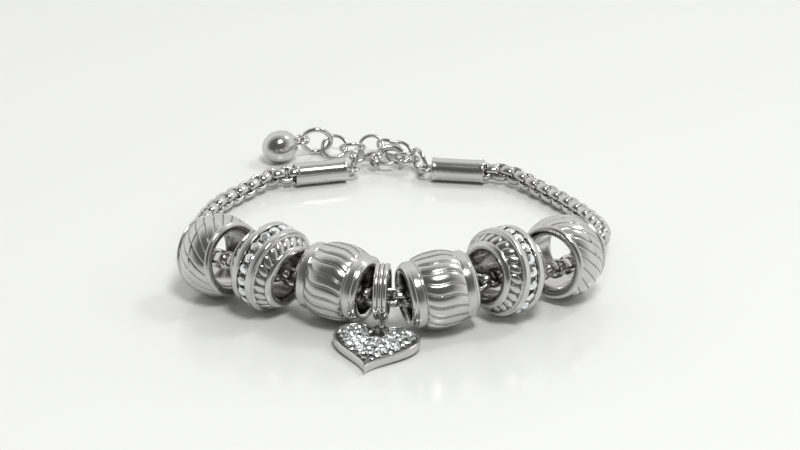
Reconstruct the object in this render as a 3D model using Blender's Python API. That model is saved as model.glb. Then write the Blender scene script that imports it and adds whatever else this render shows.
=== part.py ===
# Charm bracelet: a rounded box chain with six large-bore beads, a heart pendant on a hanger,
# two end caps, a lobster clasp and a short extender that ends in a drop.
# Metres, +Z up. The bracelet lies on the plane z = 0 with its beads towards -Y.

import math

import bmesh
import bpy
import numpy as np
from mathutils import Matrix, Vector

MM = 0.001
GAP = 0.15 * MM           # clearance between pieces that hold or pass through each other
BEAD_GAP = 0.30 * MM      # space between neighbouring beads on the chain
WELD = 0.012 * MM         # points closer than this become one after a join or a cut
FLOOR_GAP = 0.02 * MM     # height of the lowest points above the plane

# Chain
CHAIN_RADIUS = 1.42 * MM
CHAIN_STEP = 2.0          # spacing of the tube's points, in chain diameters
CHAIN_FINENESS = 24       # steps of the smooth curve between two stops

# Leaf beads: the outer pair, a wide band of slanted leaves on both sides of a ridge
LEAF_RADIUS = 5.88 * MM
LEAF_RIM_RADIUS = 5.26 * MM
LEAF_BORE = 3.70 * MM
LEAF_LENGTH = 6.50 * MM
LEAF_LIP = 0.25 * MM
LEAF_RIM_WIDTH = 0.35 * MM
LEAF_RELIEF = 0.26 * MM
LEAF_COUNT = 20
LEAF_TURN = 1.5           # how far the leaves lean round the bead by the rim, in leaf widths

# Crystal beads: a channel of round stones between walls, a scalloped ring on each side
CRYSTAL_RADIUS = 6.12 * MM
CRYSTAL_BORE = 3.20 * MM
CRYSTAL_LENGTH = 7.70 * MM
CHANNEL_WIDTH = 1.60 * MM
CHANNEL_DEPTH = 0.62 * MM
WALL_WIDTH = 1.00 * MM
SCALLOP_RING_RADIUS = 5.65 * MM
SCALLOP_RING_WIDTH = 1.45 * MM
SCALLOP_RELIEF = 0.28 * MM
SCALLOP_COUNT = 30
COLLAR_RADIUS = 4.55 * MM
CRYSTAL_STONE_RADIUS = 0.74 * MM
CRYSTAL_STONE_COUNT = 20

# Wave beads: a barrel with raised wavy lines between stepped collars
WAVE_RADIUS = 5.50 * MM
WAVE_END_RADIUS = 4.89 * MM
WAVE_BORE = 3.25 * MM
WAVE_LENGTH = 9.78 * MM
WAVE_BARREL_LENGTH = 5.80 * MM
WAVE_COLLAR_RADIUS = 4.69 * MM
WAVE_COLLAR_WIDTH = 1.25 * MM
WAVE_STEP = 0.22 * MM
WAVE_RELIEF = 0.16 * MM
WAVE_COUNT = 20
WAVE_TURN = 0.45          # how far the lines lean round the bead by the collar, in line spacings

# Hanger: the ribbed ring between the wave beads, with a loop at its foot
HANGER_RADIUS = 3.90 * MM
HANGER_BORE = 3.05 * MM
HANGER_WIDTH = 1.90 * MM
HANGER_RIB = 0.22 * MM
HANGER_LOOP_RADIUS = 1.15 * MM
HANGER_LOOP_WIRE = 0.32 * MM
HANGER_LOOP_OFFSET = 1.10 * MM
HANGER_SIDES = 32

# Heart pendant
HEART_WIDTH = 11.90 * MM
HEART_LENGTH = 10.90 * MM
HEART_THICKNESS = 1.25 * MM
HEART_RIM = 0.42 * MM
HEART_RECESS = 0.22 * MM
HEART_STONE_RADIUS = 0.60 * MM
HEART_STONE_SPACING = 1.36 * MM
HEART_EYE_HALF_WIDTH = 1.00 * MM
HEART_EYE_HALF_LENGTH = 1.70 * MM
HEART_EYE_WIRE = 0.30 * MM
HEART_SIDES = 40
HEART_CURVE_SPAN = 28.97   # height of the curve that the heart's outline scales
HEART_FIRST_ROW = 1.7      # height of the lowest row of stones, in shares of the room at the rim
HEART_COLUMNS = 12         # stones tried on each side of the middle

# Cut stones, in shares of the girdle's radius
STONE_SIDES = 8
TABLE_SHARE = 0.56
CROWN_SHARE = 0.42
PAVILION_SHARE = 0.55
STONE_LIFT = 0.12         # height of a girdle above the floor it is set in
STONE_ROOM = 1.02         # space that a stone needs towards the heart's rim

# End caps, rings and links
CAP_RADIUS = 1.80 * MM
CAP_LENGTH = 7.95 * MM
CAP_RIM = 0.08 * MM
CAP_RIM_WIDTH = 0.55 * MM
CAP_SOCKET_DEPTH = 3.00 * MM
CAP_SOCKET_GAP = 0.09 * MM
CAP_EYE_RADIUS = 0.95 * MM
CAP_EYE_WIRE = 0.30 * MM
CAP_EYE_SINK = 0.2        # share of the wire that is sunk in the cap's end
CAP_END_SHARE = 0.75      # radius of the flat end beside the eye
JUMP_RADIUS = 1.85 * MM
JUMP_WIRE = 0.34 * MM
LINK_RADIUS = 1.85 * MM
LINK_WIRE = 0.275 * MM
END_RING_RADIUS = 2.20 * MM
END_RING_WIRE = 0.38 * MM
DROP_RADIUS = 2.45 * MM
DROP_HALF_LENGTH = 2.85 * MM
DROP_NECK_LENGTH = 0.40 * MM
DROP_NECK_RADIUS = 0.45 * MM
DROP_EYE_RADIUS = 0.94 * MM
DROP_EYE_WIRE = 0.28 * MM
DROP_ANGLES = range(15, 165, 25)   # rows of the ball, in degrees from its far end

# Lobster clasp, measured from the middle of its tail eye towards the nose
CLASP_LENGTH = 7.50 * MM
CLASP_HALF_WIDTH = 2.15 * MM
CLASP_HALF_THICKNESS = 0.72 * MM
CLASP_BAR = 0.52 * MM
CLASP_TAIL_RADIUS = 1.05 * MM
CLASP_TAIL_WIRE = 0.30 * MM
CLASP_PIVOT_X = 2.75 * MM
LEVER_THICKNESS = 0.62 * MM
LEVER_HALF_WIDTH = 0.36 * MM
PIN_RADIUS = 0.24 * MM
LEVER_GAP = 0.10 * MM
PIN_GAP = 0.06 * MM
FORK_WALL = 0.36 * MM
CLAW_HALF_LENGTH = 1.95 * MM
CLAW_HALF_WIDTH = 1.60 * MM
CLAW_START = 190          # degrees round the claw's opening, where it leaves the neck
CLAW_TURN = 20            # degrees between its sections
CLAW_END = -48            # where its tip ends
CLAW_NARROWING = 0.25     # loss of width from the neck to the tip
CLAW_THINNING = 0.30      # loss of thickness
CHEEK_RADIUS = 0.90 * MM
SLOT_BACK = 0.86 * MM     # the slot's end behind the pivot
SLOT_TOP = 0.68 * MM      # its floor above the pivot
SLOT_FRONT = 5.62 * MM
LEVER_EYE_RADIUS = 0.58 * MM
LEVER_EYE_ANGLES = range(60, 211, 30)
LEVER_THUMB = ((-0.13, -1.04), (0.32, -1.15))   # the thumb piece below the pivot, millimetres
LEVER_BOW = 0.43 * MM
LEVER_SHARES = (0.35, 0.65, 0.97)               # places along the arm
LEVER_TAPER = 0.4

# Beads from the hanger outwards. bearing: direction from the last piece to this one, degrees from +X.
# heading: direction of the bore, from the end that faces the viewer, degrees below the X axis.
# lean: how far that end is raised, degrees. space: how far it stands from the last piece.
# chain: where the chain's middle passes the bead's own, across and up, in shares of its play.
BEADS_RIGHT = (
    {"name": "wave_bead_right", "kind": "wave", "bearing": 12.7, "heading": 18.5, "lean": -4.0,
     "space": BEAD_GAP, "chain": (0.11, -0.39)},
    {"name": "crystal_bead_right", "kind": "crystal", "bearing": 23.9, "heading": 41.0, "lean": 9.0,
     "space": BEAD_GAP, "chain": (0.23, -0.27)},
    {"name": "leaf_bead_right", "kind": "leaf", "bearing": 32.0, "heading": 53.0, "lean": 5.4,
     "space": 1.50 * MM, "chain": (0.08, -0.65)},
)
BEADS_LEFT = (
    {"name": "wave_bead_left", "kind": "wave", "bearing": 146.3, "heading": 29.0, "lean": -1.5,
     "space": BEAD_GAP, "chain": (-0.16, -0.56)},
    {"name": "crystal_bead_left", "kind": "crystal", "bearing": 162.3, "heading": 42.0, "lean": -7.0,
     "space": BEAD_GAP, "chain": (-0.03, -0.33)},
    {"name": "leaf_bead_left", "kind": "leaf", "bearing": 150.5, "heading": 43.0, "lean": 9.0,
     "space": BEAD_GAP, "chain": (0.32, -0.39)},
)
HANGER_PLACE = Vector((-2.4, -32.5)) * MM
HANGER_HEADING = -6.0
HANGER_CHAIN = (0.01, -0.56)

# The chain's way round the back, chosen by hand; inside the beads it follows their places
CHAIN_ROUTE_LEFT = (
    (-28.0, -15.2, 3.5), (-29.0, -8.6, 2.2), (-28.7, -2.4, 1.5), (-26.7, 3.4, 1.5), (-22.9, 8.6, 1.5),
)
CHAIN_ROUTE_RIGHT = (
    (20.6, 9.2, 1.5), (25.0, 3.4, 1.5), (28.0, -2.6, 1.8), (28.9, -8.4, 2.8), (27.0, -15.0, 3.9),
)
HEART_HEADING = 12.0      # degrees, the tip turned towards -X
HEART_LEAN = 4.0          # degrees, the lobes raised

# Rings and links. step: from the middle of the ring it hangs in to its own, in shares of the reach
# of the two; heading: the level direction in its plane, degrees from +X; lean: the plane's angle
# from the floor, its far edge raised.
HELD_LINK_PLACE = Vector((1.12, 18.93, 1.95)) * MM
HELD_LINK_HEADING = -11.1
HELD_LINK_LEAN = 137.1
JUMP_RIGHT = {"step": (0.613, -0.606, 0.099), "heading": 118.9, "lean": 84.9}
JUMP_LEFT = {"step": (-0.185, -0.810, -0.014), "heading": 81.3, "lean": 98.6}
CAP_RIGHT = {"step": (0.490, -0.764, -0.20), "heading": 172.8}
CAP_LEFT = {"step": (-0.185, -0.888, -0.20), "heading": 13.2}
CLASP_PLACE = Vector((-6.46, 19.10, 2.22)) * MM
CLASP_HEADING = -2.1
CLASP_LEAN = 30.7
EXTENDER = (
    {"step": (-0.453, 0.593, 0.007), "heading": -0.4, "lean": 36.0},
    {"step": (-0.473, 0.587, 0.020), "heading": -22.9, "lean": -61.0},
    {"step": (-0.907, 0.207, -0.090), "heading": -2.6, "lean": 49.6},
    {"step": (-0.957, 0.097, -0.073), "heading": 3.2, "lean": -42.2},
    {"step": (-0.937, 0.157, -0.010), "heading": -0.3, "lean": 40.2},
)
END_RING = {"step": (-0.842, -0.002, 0.313), "heading": 3.0, "lean": -74.0}
DROP_BEARING = 209.0      # degrees from +X, from the end ring to the drop
ROUND_SIDES = 16
RING_SIDES = 14
WIRE_SIDES = 6
BAR_SIDES = 8


def paint(obj, name, color, roughness, metallic):
    material = bpy.data.materials.get(name) or bpy.data.materials.new(name)
    material.use_nodes = True
    shader = material.node_tree.nodes["Principled BSDF"]
    shader.inputs["Base Color"].default_value = (*color, 1.0)
    shader.inputs["Roughness"].default_value = roughness
    shader.inputs["Metallic"].default_value = metallic
    obj.data.materials.append(material)


def steel(obj):
    paint(obj, "polished_steel", (0.62, 0.62, 0.60), 0.18, 1.0)
    return obj


def new_object(name, points, faces):
    mesh = bpy.data.meshes.new(name)
    mesh.from_pydata([tuple(point) for point in points], [], faces)
    shape = bmesh.new()
    shape.from_mesh(mesh)
    bmesh.ops.recalc_face_normals(shape, faces=shape.faces)
    shape.to_mesh(mesh)
    shape.free()
    obj = bpy.data.objects.new(name, mesh)
    bpy.context.scene.collection.objects.link(obj)
    return obj


def combine(obj, other, operation):
    """Joins or cuts obj with other, which is used up."""
    modifier = obj.modifiers.new(operation, "BOOLEAN")
    modifier.operation = operation
    modifier.solver = "EXACT"
    modifier.object = other
    bpy.context.view_layer.objects.active = obj
    bpy.ops.object.modifier_apply(modifier=modifier.name)
    bpy.data.objects.remove(other, do_unlink=True)
    weld(obj)
    return obj


def weld(obj):
    """Closes up the slivers that a join or a cut leaves."""
    shape = bmesh.new()
    shape.from_mesh(obj.data)
    bmesh.ops.dissolve_degenerate(shape, dist=WELD, edges=shape.edges)
    shape.to_mesh(obj.data)
    shape.free()


def smooth(obj, limit=40):
    """Shades round faces smooth and keeps edges sharper than limit degrees."""
    obj.data.shade_smooth()
    obj.data.set_sharp_from_angle(angle=math.radians(limit))
    return obj


def level(angle):
    """The level direction at this angle from +X, in degrees."""
    turn = math.radians(angle)
    return Vector((math.cos(turn), math.sin(turn), 0))


def place_matrix(center, x_axis, y_axis):
    """A frame at center; y_axis is squared to x_axis."""
    x = x_axis.normalized()
    z = x.cross(y_axis).normalized()
    y = z.cross(x)
    matrix = Matrix((x, y, z)).transposed().to_4x4()
    matrix.translation = center
    return matrix


def leaning(center, heading, lean):
    """A frame with X level along heading and Y leaning up from the floor."""
    along = level(heading)
    side = level(heading + 90)
    tilt = math.radians(lean)
    return place_matrix(center, along, side * math.cos(tilt) + Vector((0, 0, math.sin(tilt))))


def loop_faces(first, second, a, b, shift=0):
    """Faces between two loops of points, where one may have twice the points of the other.

    first and second are the numbers of their first points, a and b their counts.
    """
    if a == b:
        return [
            (first + i, first + (i + 1) % a, second + (i + 1 + shift) % b, second + (i + shift) % b)
            for i in range(a)
        ]
    if a < b:
        return loop_faces(second, first, b, a)
    return [
        (first + 2 * i, first + 2 * i + 1, first + (2 * i + 2) % a, second + (i + 1) % b, second + i)
        for i in range(b)
    ]


def loops_solid(name, loops, closed=False, shift=0):
    """A solid through loops of points: closed on itself, or with a face at both ends."""
    starts = [0]
    for loop in loops:
        starts.append(starts[-1] + len(loop))
    faces = []
    for i in range(len(loops) - 1):
        faces += loop_faces(starts[i], starts[i + 1], len(loops[i]), len(loops[i + 1]))
    if closed:
        faces += loop_faces(starts[-2], 0, len(loops[-1]), len(loops[0]), shift)
    else:
        faces.append(tuple(range(starts[1])))
        faces.append(tuple(range(starts[-2], starts[-1])))
    return new_object(name, [point for loop in loops for point in loop], faces)


def circle(x, radius, sides, turn=0.0):
    """A loop round the X axis."""
    angles = [2 * math.pi * i / sides + turn for i in range(sides)]
    return [Vector((x, radius * math.cos(a), radius * math.sin(a))) for a in angles]


def ring(name, matrix, radius, wire, stretch=1.0):
    """A wire ring in the frame's XY plane; stretch lengthens it along Y."""
    loops = []
    for i in range(RING_SIDES):
        a = 2 * math.pi * i / RING_SIDES
        middle = Vector((radius * math.cos(a), radius * stretch * math.sin(a), 0))
        out = Vector((math.cos(a), math.sin(a), 0))
        loop = []
        for j in range(WIRE_SIDES):
            b = 2 * math.pi * j / WIRE_SIDES
            loop.append(matrix @ (middle + wire * (out * math.cos(b) + Vector((0, 0, math.sin(b))))))
        loops.append(loop)
    return loops_solid(name, loops, closed=True)


def bar(name, matrix, path, widths, thicknesses):
    """A bar with round edges in the frame's XY plane. path: (x, y); widths and thicknesses: halves."""
    loops = []
    for i, (x, y) in enumerate(path):
        before = Vector(path[max(i - 1, 0)])
        after = Vector(path[min(i + 1, len(path) - 1)])
        along = (after - before).normalized()
        out = Vector((-along.y, along.x, 0))
        loop = []
        for j in range(BAR_SIDES):
            b = 2 * math.pi * (j + 0.5) / BAR_SIDES
            up = Vector((0, 0, thicknesses[i] * math.sin(b)))
            loop.append(matrix @ (Vector((x, y, 0)) + out * widths[i] * math.cos(b) + up))
        loops.append(loop)
    return loops_solid(name, loops)


def plate(name, matrix, outline, low, high):
    """A flat plate between two heights over the frame's XY plane."""
    loops = [[matrix @ Vector((x, y, z)) for x, y in outline] for z in (low, high)]
    return loops_solid(name, loops)


def stone_points(matrix, radius):
    """Points and faces of one round cut stone, its girdle in the frame's XY plane."""
    points = []
    for share, height in ((TABLE_SHARE, CROWN_SHARE), (1.0, 0.0)):
        for i in range(STONE_SIDES):
            a = 2 * math.pi * (i + (1 - height / CROWN_SHARE) / 2) / STONE_SIDES
            points.append(radius * Vector((share * math.cos(a), share * math.sin(a), height)))
    points.append(Vector((0, 0, -radius * PAVILION_SHARE)))
    faces = [tuple(range(STONE_SIDES))]
    for i in range(STONE_SIDES):
        after = (i + 1) % STONE_SIDES
        faces.append((i, STONE_SIDES + i, after))
        faces.append((STONE_SIDES + i, STONE_SIDES + after, after))
        faces.append((STONE_SIDES + after, STONE_SIDES + i, 2 * STONE_SIDES))
    return [matrix @ point for point in points], faces


def set_stones(obj, matrices, radius):
    """Fuses stones into obj, one for each frame."""
    points = []
    faces = []
    for matrix in matrices:
        more, sides = stone_points(matrix, radius)
        faces += [tuple(len(points) + k for k in side) for side in sides]
        points += more
    return combine(obj, new_object("stones", points, faces), "UNION")


def reach(first, second):
    """How far apart two linked rings can lie. Each is (radius, wire)."""
    return first[0] - first[1] + second[0] - second[1] - GAP


def step_from(place, step, first, second):
    return place + Vector(step) * reach(first, second)


def leaf_profile():
    """Half of a leaf bead from the middle outwards.

    Each row: place along the bore, radius, relief of every other point, turn in spacings, and
    whether the row has those other points.
    """
    half = LEAF_LENGTH / 2
    rim = half - LEAF_LIP - LEAF_RIM_WIDTH
    fall = LEAF_RADIUS - LEAF_RIM_RADIUS
    return [
        (0.0, LEAF_RADIUS, 0.0, 0.0, True),
        (rim * 0.10, LEAF_RADIUS, -LEAF_RELIEF * 0.8, LEAF_TURN * 0.10, True),
        (rim * 0.45, LEAF_RADIUS - fall * 0.18, -LEAF_RELIEF, LEAF_TURN * 0.55, True),
        (rim * 0.80, LEAF_RADIUS - fall * 0.62, -LEAF_RELIEF, LEAF_TURN * 0.90, True),
        (rim, LEAF_RIM_RADIUS - LEAF_RELIEF * 0.5, 0.0, LEAF_TURN, True),
        (rim + LEAF_LIP * 0.3, LEAF_RIM_RADIUS, 0.0, LEAF_TURN, False),
        (half - LEAF_LIP, LEAF_RIM_RADIUS, 0.0, LEAF_TURN, False),
        (half, LEAF_RIM_RADIUS - (LEAF_RIM_RADIUS - LEAF_BORE) * 0.35, 0.0, LEAF_TURN, False),
        (half, LEAF_BORE + (LEAF_RIM_RADIUS - LEAF_BORE) * 0.25, 0.0, LEAF_TURN, False),
        (half - LEAF_LIP * 1.8, LEAF_BORE, 0.0, LEAF_TURN, False),
    ]


def crystal_profile():
    half = CRYSTAL_LENGTH / 2
    channel = CHANNEL_WIDTH / 2
    wall = channel + WALL_WIDTH
    scallop = wall + SCALLOP_RING_WIDTH
    return [
        (channel, CRYSTAL_RADIUS - CHANNEL_DEPTH, 0.0, 0.0, False),
        (channel, CRYSTAL_RADIUS, 0.0, 0.0, False),
        (wall, CRYSTAL_RADIUS, 0.0, 0.0, False),
        (wall + SCALLOP_RING_WIDTH * 0.05, SCALLOP_RING_RADIUS, -SCALLOP_RELIEF * 0.7, 0.0, True),
        ((wall + scallop) / 2, (SCALLOP_RING_RADIUS + COLLAR_RADIUS) / 2, -SCALLOP_RELIEF, 0.25, True),
        (scallop, COLLAR_RADIUS, 0.0, 0.5, False),
        (half * 0.96, COLLAR_RADIUS * 0.93, 0.0, 0.5, False),
        (half, (COLLAR_RADIUS + CRYSTAL_BORE) * 0.48, 0.0, 0.5, False),
        (half * 0.95, CRYSTAL_BORE, 0.0, 0.5, False),
    ]


def wave_profile():
    half = WAVE_LENGTH / 2
    barrel = WAVE_BARREL_LENGTH / 2
    fall = WAVE_RADIUS - WAVE_END_RADIUS
    collar = barrel + WAVE_COLLAR_WIDTH
    inner = WAVE_COLLAR_RADIUS - WAVE_STEP
    return [
        (0.0, WAVE_RADIUS - WAVE_RELIEF, WAVE_RELIEF, 0.0, True),
        (barrel * 0.35, WAVE_RADIUS - WAVE_RELIEF - fall * 0.10, WAVE_RELIEF, WAVE_TURN * 0.1, True),
        (barrel * 0.65, WAVE_RADIUS - WAVE_RELIEF - fall * 0.38, WAVE_RELIEF, WAVE_TURN * 0.4, True),
        (barrel, WAVE_END_RADIUS, 0.0, 0.0, False),
        (barrel + WAVE_STEP * 0.3, WAVE_COLLAR_RADIUS, 0.0, 0.0, False),
        (collar, WAVE_COLLAR_RADIUS, 0.0, 0.0, False),
        (collar + WAVE_STEP * 0.3, inner, 0.0, 0.0, False),
        (half * 0.95, inner * 0.97, 0.0, 0.0, False),
        (half, (inner + WAVE_BORE) / 2, 0.0, 0.0, False),
        (half * 0.94, WAVE_BORE, 0.0, 0.0, False),
    ]


def hanger_profile():
    half = HANGER_WIDTH / 2
    groove = HANGER_RADIUS - HANGER_RIB
    return [
        (0.0, HANGER_RADIUS, 0.0, 0.0, False),
        (half * 0.30, groove, 0.0, 0.0, False),
        (half * 0.60, HANGER_RADIUS, 0.0, 0.0, False),
        (half, groove, 0.0, 0.0, False),
        (half, HANGER_BORE + HANGER_RIB, 0.0, 0.0, False),
        (half * 0.85, HANGER_BORE, 0.0, 0.0, False),
    ]


def mirrored(profile):
    """The whole section round its material: from one bore edge over the outside to the other."""
    near = [(-s, r, relief, -turn, whole) for s, r, relief, turn, whole in reversed(profile)]
    if profile[0][0] == 0:
        near = near[:-1]
    return near + profile


def bead(name, matrix, profile, count):
    """A bead with its bore along X: every other point of a row is lifted or sunk by its relief."""
    loops = []
    for s, r, relief, turn, whole in mirrored(profile):
        loop = []
        sides = 2 * count if whole else count
        for i, point in enumerate(circle(s, 1.0, sides, 2 * math.pi * turn / count)):
            radius = r + relief * (whole and i % 2)
            loop.append(matrix @ Vector((s, point.y * radius, point.z * radius)))
        loops.append(loop)
    return loops_solid(name, loops, closed=True, shift=round(2 * profile[-1][3]))


def section_points(profile):
    """The outside of a bead's section as (place, radius), reliefs at their highest."""
    return np.array([(s, r + max(relief, 0.0)) for s, r, relief, turn, whole in mirrored(profile)])


def surface_samples(profile, matrix):
    rows = section_points(profile)
    middles = (rows[1:] + rows[:-1]) / 2
    rows = np.concatenate((rows, middles))
    angles = np.linspace(0, 2 * np.pi, 72, endpoint=False)
    places = np.repeat(rows[:, :1], len(angles), axis=1)
    points = np.stack((places, rows[:, 1:] * np.cos(angles), rows[:, 1:] * np.sin(angles)), axis=-1)
    turn = np.array(matrix.to_3x3())
    return points.reshape(-1, 3) @ turn.T + np.array(matrix.translation)


def space_between(profile, matrix, samples):
    """The least distance from points in the world to a bead taken as turned; below 0 inside it."""
    turn = np.array(matrix.to_3x3())
    local = (samples - np.array(matrix.translation)) @ turn
    flat = np.stack((local[:, 0], np.hypot(local[:, 1], local[:, 2])), axis=1)[:, None]
    start = section_points(profile)[None]
    side = np.roll(start, -1, axis=1) - start
    share = ((flat - start) * side).sum(-1) / (side ** 2).sum(-1)
    nearest = start + side * np.clip(share, 0, 1)[..., None]
    away = np.linalg.norm(flat - nearest, axis=-1).min(axis=1)
    rises = (start[..., 1] > flat[..., 1]) != (np.roll(start, -1, axis=1)[..., 1] > flat[..., 1])
    slope = side[..., 0] / np.where(side[..., 1] == 0, 1, side[..., 1])
    crossing = start[..., 0] + slope * (flat[..., 1] - start[..., 1])
    inside = (rises & (flat[..., 0] < crossing)).sum(axis=1) % 2 == 1
    return np.where(inside, -away, away).min()


def bead_matrix(place, profile, heading, lean, sign):
    """The bore runs along X, towards the viewer; the bead stands on the floor at place (x, y)."""
    turn = math.radians(heading)
    tilt = math.radians(lean)
    rows = section_points(profile)
    reach_down = (rows[:, 1] * math.cos(tilt) + abs(rows[:, 0] * math.sin(tilt))).max()
    flat = Vector((sign * math.cos(turn), -math.sin(turn), 0))
    axis = flat * math.cos(tilt) + Vector((0, 0, math.sin(tilt)))
    middle = Vector((place.x, place.y, reach_down + FLOOR_GAP))
    return place_matrix(middle, axis, Vector((-axis.y, axis.x, 0)))


def row_of_beads(specs, sign, first, first_matrix):
    """Matrices of the beads of one side, each slid along its bearing against the one before."""
    profiles = {"leaf": leaf_profile(), "crystal": crystal_profile(), "wave": wave_profile()}
    placed = []
    last = first
    last_matrix = first_matrix
    for spec in specs:
        profile = profiles[spec["kind"]]
        near = 0.0
        far = 4 * (WAVE_LENGTH + CRYSTAL_RADIUS)
        while far - near > GAP / 50:
            distance = (near + far) / 2
            place = last_matrix.translation + level(spec["bearing"]) * distance
            matrix = bead_matrix(place, profile, spec["heading"], spec["lean"], sign)
            space = min(
                space_between(last, last_matrix, surface_samples(profile, matrix)),
                space_between(profile, matrix, surface_samples(last, last_matrix)),
            )
            if space > spec["space"]:
                far = distance
            else:
                near = distance
        placed.append((spec, profile, matrix))
        last = profile
        last_matrix = matrix
    return placed


def make_bead(spec, profile, matrix):
    counts = {"leaf": LEAF_COUNT, "crystal": SCALLOP_COUNT, "wave": WAVE_COUNT}
    obj = bead(spec["name"], matrix, profile, counts[spec["kind"]])
    if spec["kind"] == "crystal":
        girdle = CRYSTAL_RADIUS - CHANNEL_DEPTH + CRYSTAL_STONE_RADIUS * STONE_LIFT
        seats = []
        for i in range(CRYSTAL_STONE_COUNT):
            out = Matrix.Rotation(2 * math.pi * i / CRYSTAL_STONE_COUNT, 4, "X")
            seats.append(matrix @ out @ Matrix.Translation((0, 0, girdle)))
        set_stones(obj, seats, CRYSTAL_STONE_RADIUS)
    return steel(smooth(obj, 30))


def heart_outline(inset):
    """The heart about its tip: (x, y) points of a classic curve, evenly spaced, pulled in by inset."""
    t = np.linspace(0, np.pi, 361)
    wide = HEART_WIDTH / 2 * np.sin(t) ** 3
    tall = 13 * np.cos(t) - 5 * np.cos(2 * t) - 2 * np.cos(3 * t) - np.cos(4 * t) + 17
    tall = tall * HEART_LENGTH / HEART_CURVE_SPAN
    lengths = np.concatenate(((0,), np.cumsum(np.hypot(np.diff(wide), np.diff(tall)))))
    wanted = np.linspace(0, lengths[-1], HEART_SIDES // 2 + 1)
    x = np.interp(wanted, lengths, wide)
    y = np.interp(wanted, lengths, tall)
    x = np.concatenate((x, -x[-2:0:-1])) * (1 - 2 * inset / HEART_WIDTH)
    y = np.concatenate((y, y[-2:0:-1]))
    y = HEART_LENGTH / 2 + (y - HEART_LENGTH / 2) * (1 - 2 * inset / HEART_LENGTH)
    return [Vector(point) for point in zip(x, y)]


def heart_seats():
    """Stone places in rows, left and right alike, that keep clear of the rim."""
    outline = np.array([tuple(point) for point in heart_outline(0.0)])
    side = np.roll(outline, -1, axis=0) - outline
    room = HEART_RIM + HEART_STONE_RADIUS * STONE_ROOM
    rise = HEART_STONE_SPACING * math.sqrt(3) / 2
    seats = []
    for row in range(int(HEART_LENGTH / rise) + 1):
        for column in range(-HEART_COLUMNS, HEART_COLUMNS + 1):
            across = (column + (row % 2) / 2) * HEART_STONE_SPACING
            place = np.array((across, room * HEART_FIRST_ROW + row * rise))
            share = ((place - outline) * side).sum(-1) / (side ** 2).sum(-1)
            away = np.linalg.norm(place - outline - side * np.clip(share, 0, 1)[:, None], axis=1).min()
            start_y = outline[:, 1]
            end_y = start_y + side[:, 1]
            rises = (start_y > place[1]) != (end_y > place[1])
            slope = side[:, 0] / np.where(side[:, 1] == 0, 1, side[:, 1])
            crossing = outline[:, 0] + slope * (place[1] - start_y)
            if away > room and (rises & (place[0] < crossing)).sum() % 2 == 1:
                seats.append(place)
    return seats


def heart_eye_place():
    """The middle of the heart's eye, soldered into its notch."""
    notch = heart_outline(0.0)[0].y
    return Vector((0, notch + HEART_EYE_HALF_LENGTH - HEART_EYE_WIRE, HEART_THICKNESS / 2))


def heart_frame():
    """X across the heart, Y from its tip to its notch, Z up through its face.

    The far end of its eye lies in the middle of the hanger's loop.
    """
    loop = hanger_frames()[1].translation
    turned = leaning(Vector((0, 0, 0)), -HEART_HEADING, HEART_LEAN)
    hook = turned @ (heart_eye_place() + Vector((0, HEART_EYE_HALF_LENGTH, 0)))
    return leaning(Vector((loop.x - hook.x, loop.y - hook.y, FLOOR_GAP)), -HEART_HEADING, HEART_LEAN)


def make_heart():
    matrix = heart_frame()
    edge = HEART_RIM * 0.3
    loops = []
    for inset, height in (
        (edge, 0.0), (0.0, edge), (0.0, HEART_THICKNESS - edge), (edge, HEART_THICKNESS),
        (HEART_RIM, HEART_THICKNESS), (HEART_RIM, HEART_THICKNESS - HEART_RECESS),
    ):
        loops.append([matrix @ Vector((x, y, height)) for x, y in heart_outline(inset)])
    obj = loops_solid("heart_pendant", loops)
    lift = HEART_THICKNESS - HEART_RECESS + HEART_STONE_RADIUS * STONE_LIFT
    seats = [matrix @ Matrix.Translation((x, y, lift)) for x, y in heart_seats()]
    set_stones(obj, seats, HEART_STONE_RADIUS)
    eye = matrix @ Matrix.Translation(heart_eye_place())
    stretch = HEART_EYE_HALF_LENGTH / HEART_EYE_HALF_WIDTH
    combine(obj, ring("eye", eye, HEART_EYE_HALF_WIDTH, HEART_EYE_WIRE, stretch), "UNION")
    return steel(smooth(obj, 30))


def hanger_frames():
    """The ring's frame with its bore along X, and the frame of the loop at its foot."""
    loop_z = FLOOR_GAP + HANGER_LOOP_WIRE + HANGER_LOOP_RADIUS
    ring_z = loop_z + HANGER_LOOP_RADIUS - HANGER_LOOP_WIRE * 0.5 + HANGER_RADIUS - HANGER_RIB
    axis = level(HANGER_HEADING)
    ring_place = Vector((HANGER_PLACE.x, HANGER_PLACE.y, ring_z))
    loop_place = Vector((HANGER_PLACE.x, HANGER_PLACE.y - HANGER_LOOP_OFFSET, loop_z))
    across = level(HANGER_HEADING + 90)
    return place_matrix(ring_place, axis, across), place_matrix(loop_place, across, Vector((0, 0, 1)))


def make_hanger():
    matrix, loop_matrix = hanger_frames()
    obj = bead("hanger", matrix, hanger_profile(), HANGER_SIDES)
    loop = ring("loop", loop_matrix, HANGER_LOOP_RADIUS, HANGER_LOOP_WIRE)
    return steel(smooth(combine(obj, loop, "UNION")))


def ring_places():
    """Frames of the rings, links, caps' eyes and clasp, each worked out from the one it hangs in."""
    jump = (JUMP_RADIUS, JUMP_WIRE)
    link = (LINK_RADIUS, LINK_WIRE)
    eye = (CAP_EYE_RADIUS, CAP_EYE_WIRE)
    tail = (CLASP_TAIL_RADIUS, CLASP_TAIL_WIRE)
    places = {"held": HELD_LINK_PLACE, "clasp": CLASP_PLACE}
    places["jump_right"] = step_from(places["held"], JUMP_RIGHT["step"], link, jump)
    places["jump_left"] = step_from(places["clasp"], JUMP_LEFT["step"], tail, jump)
    places["cap_right"] = step_from(places["jump_right"], CAP_RIGHT["step"], jump, eye)
    places["cap_left"] = step_from(places["jump_left"], CAP_LEFT["step"], jump, eye)
    for side in ("right", "left"):
        places["cap_" + side].z = CAP_RADIUS + FLOOR_GAP
    return places


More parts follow.
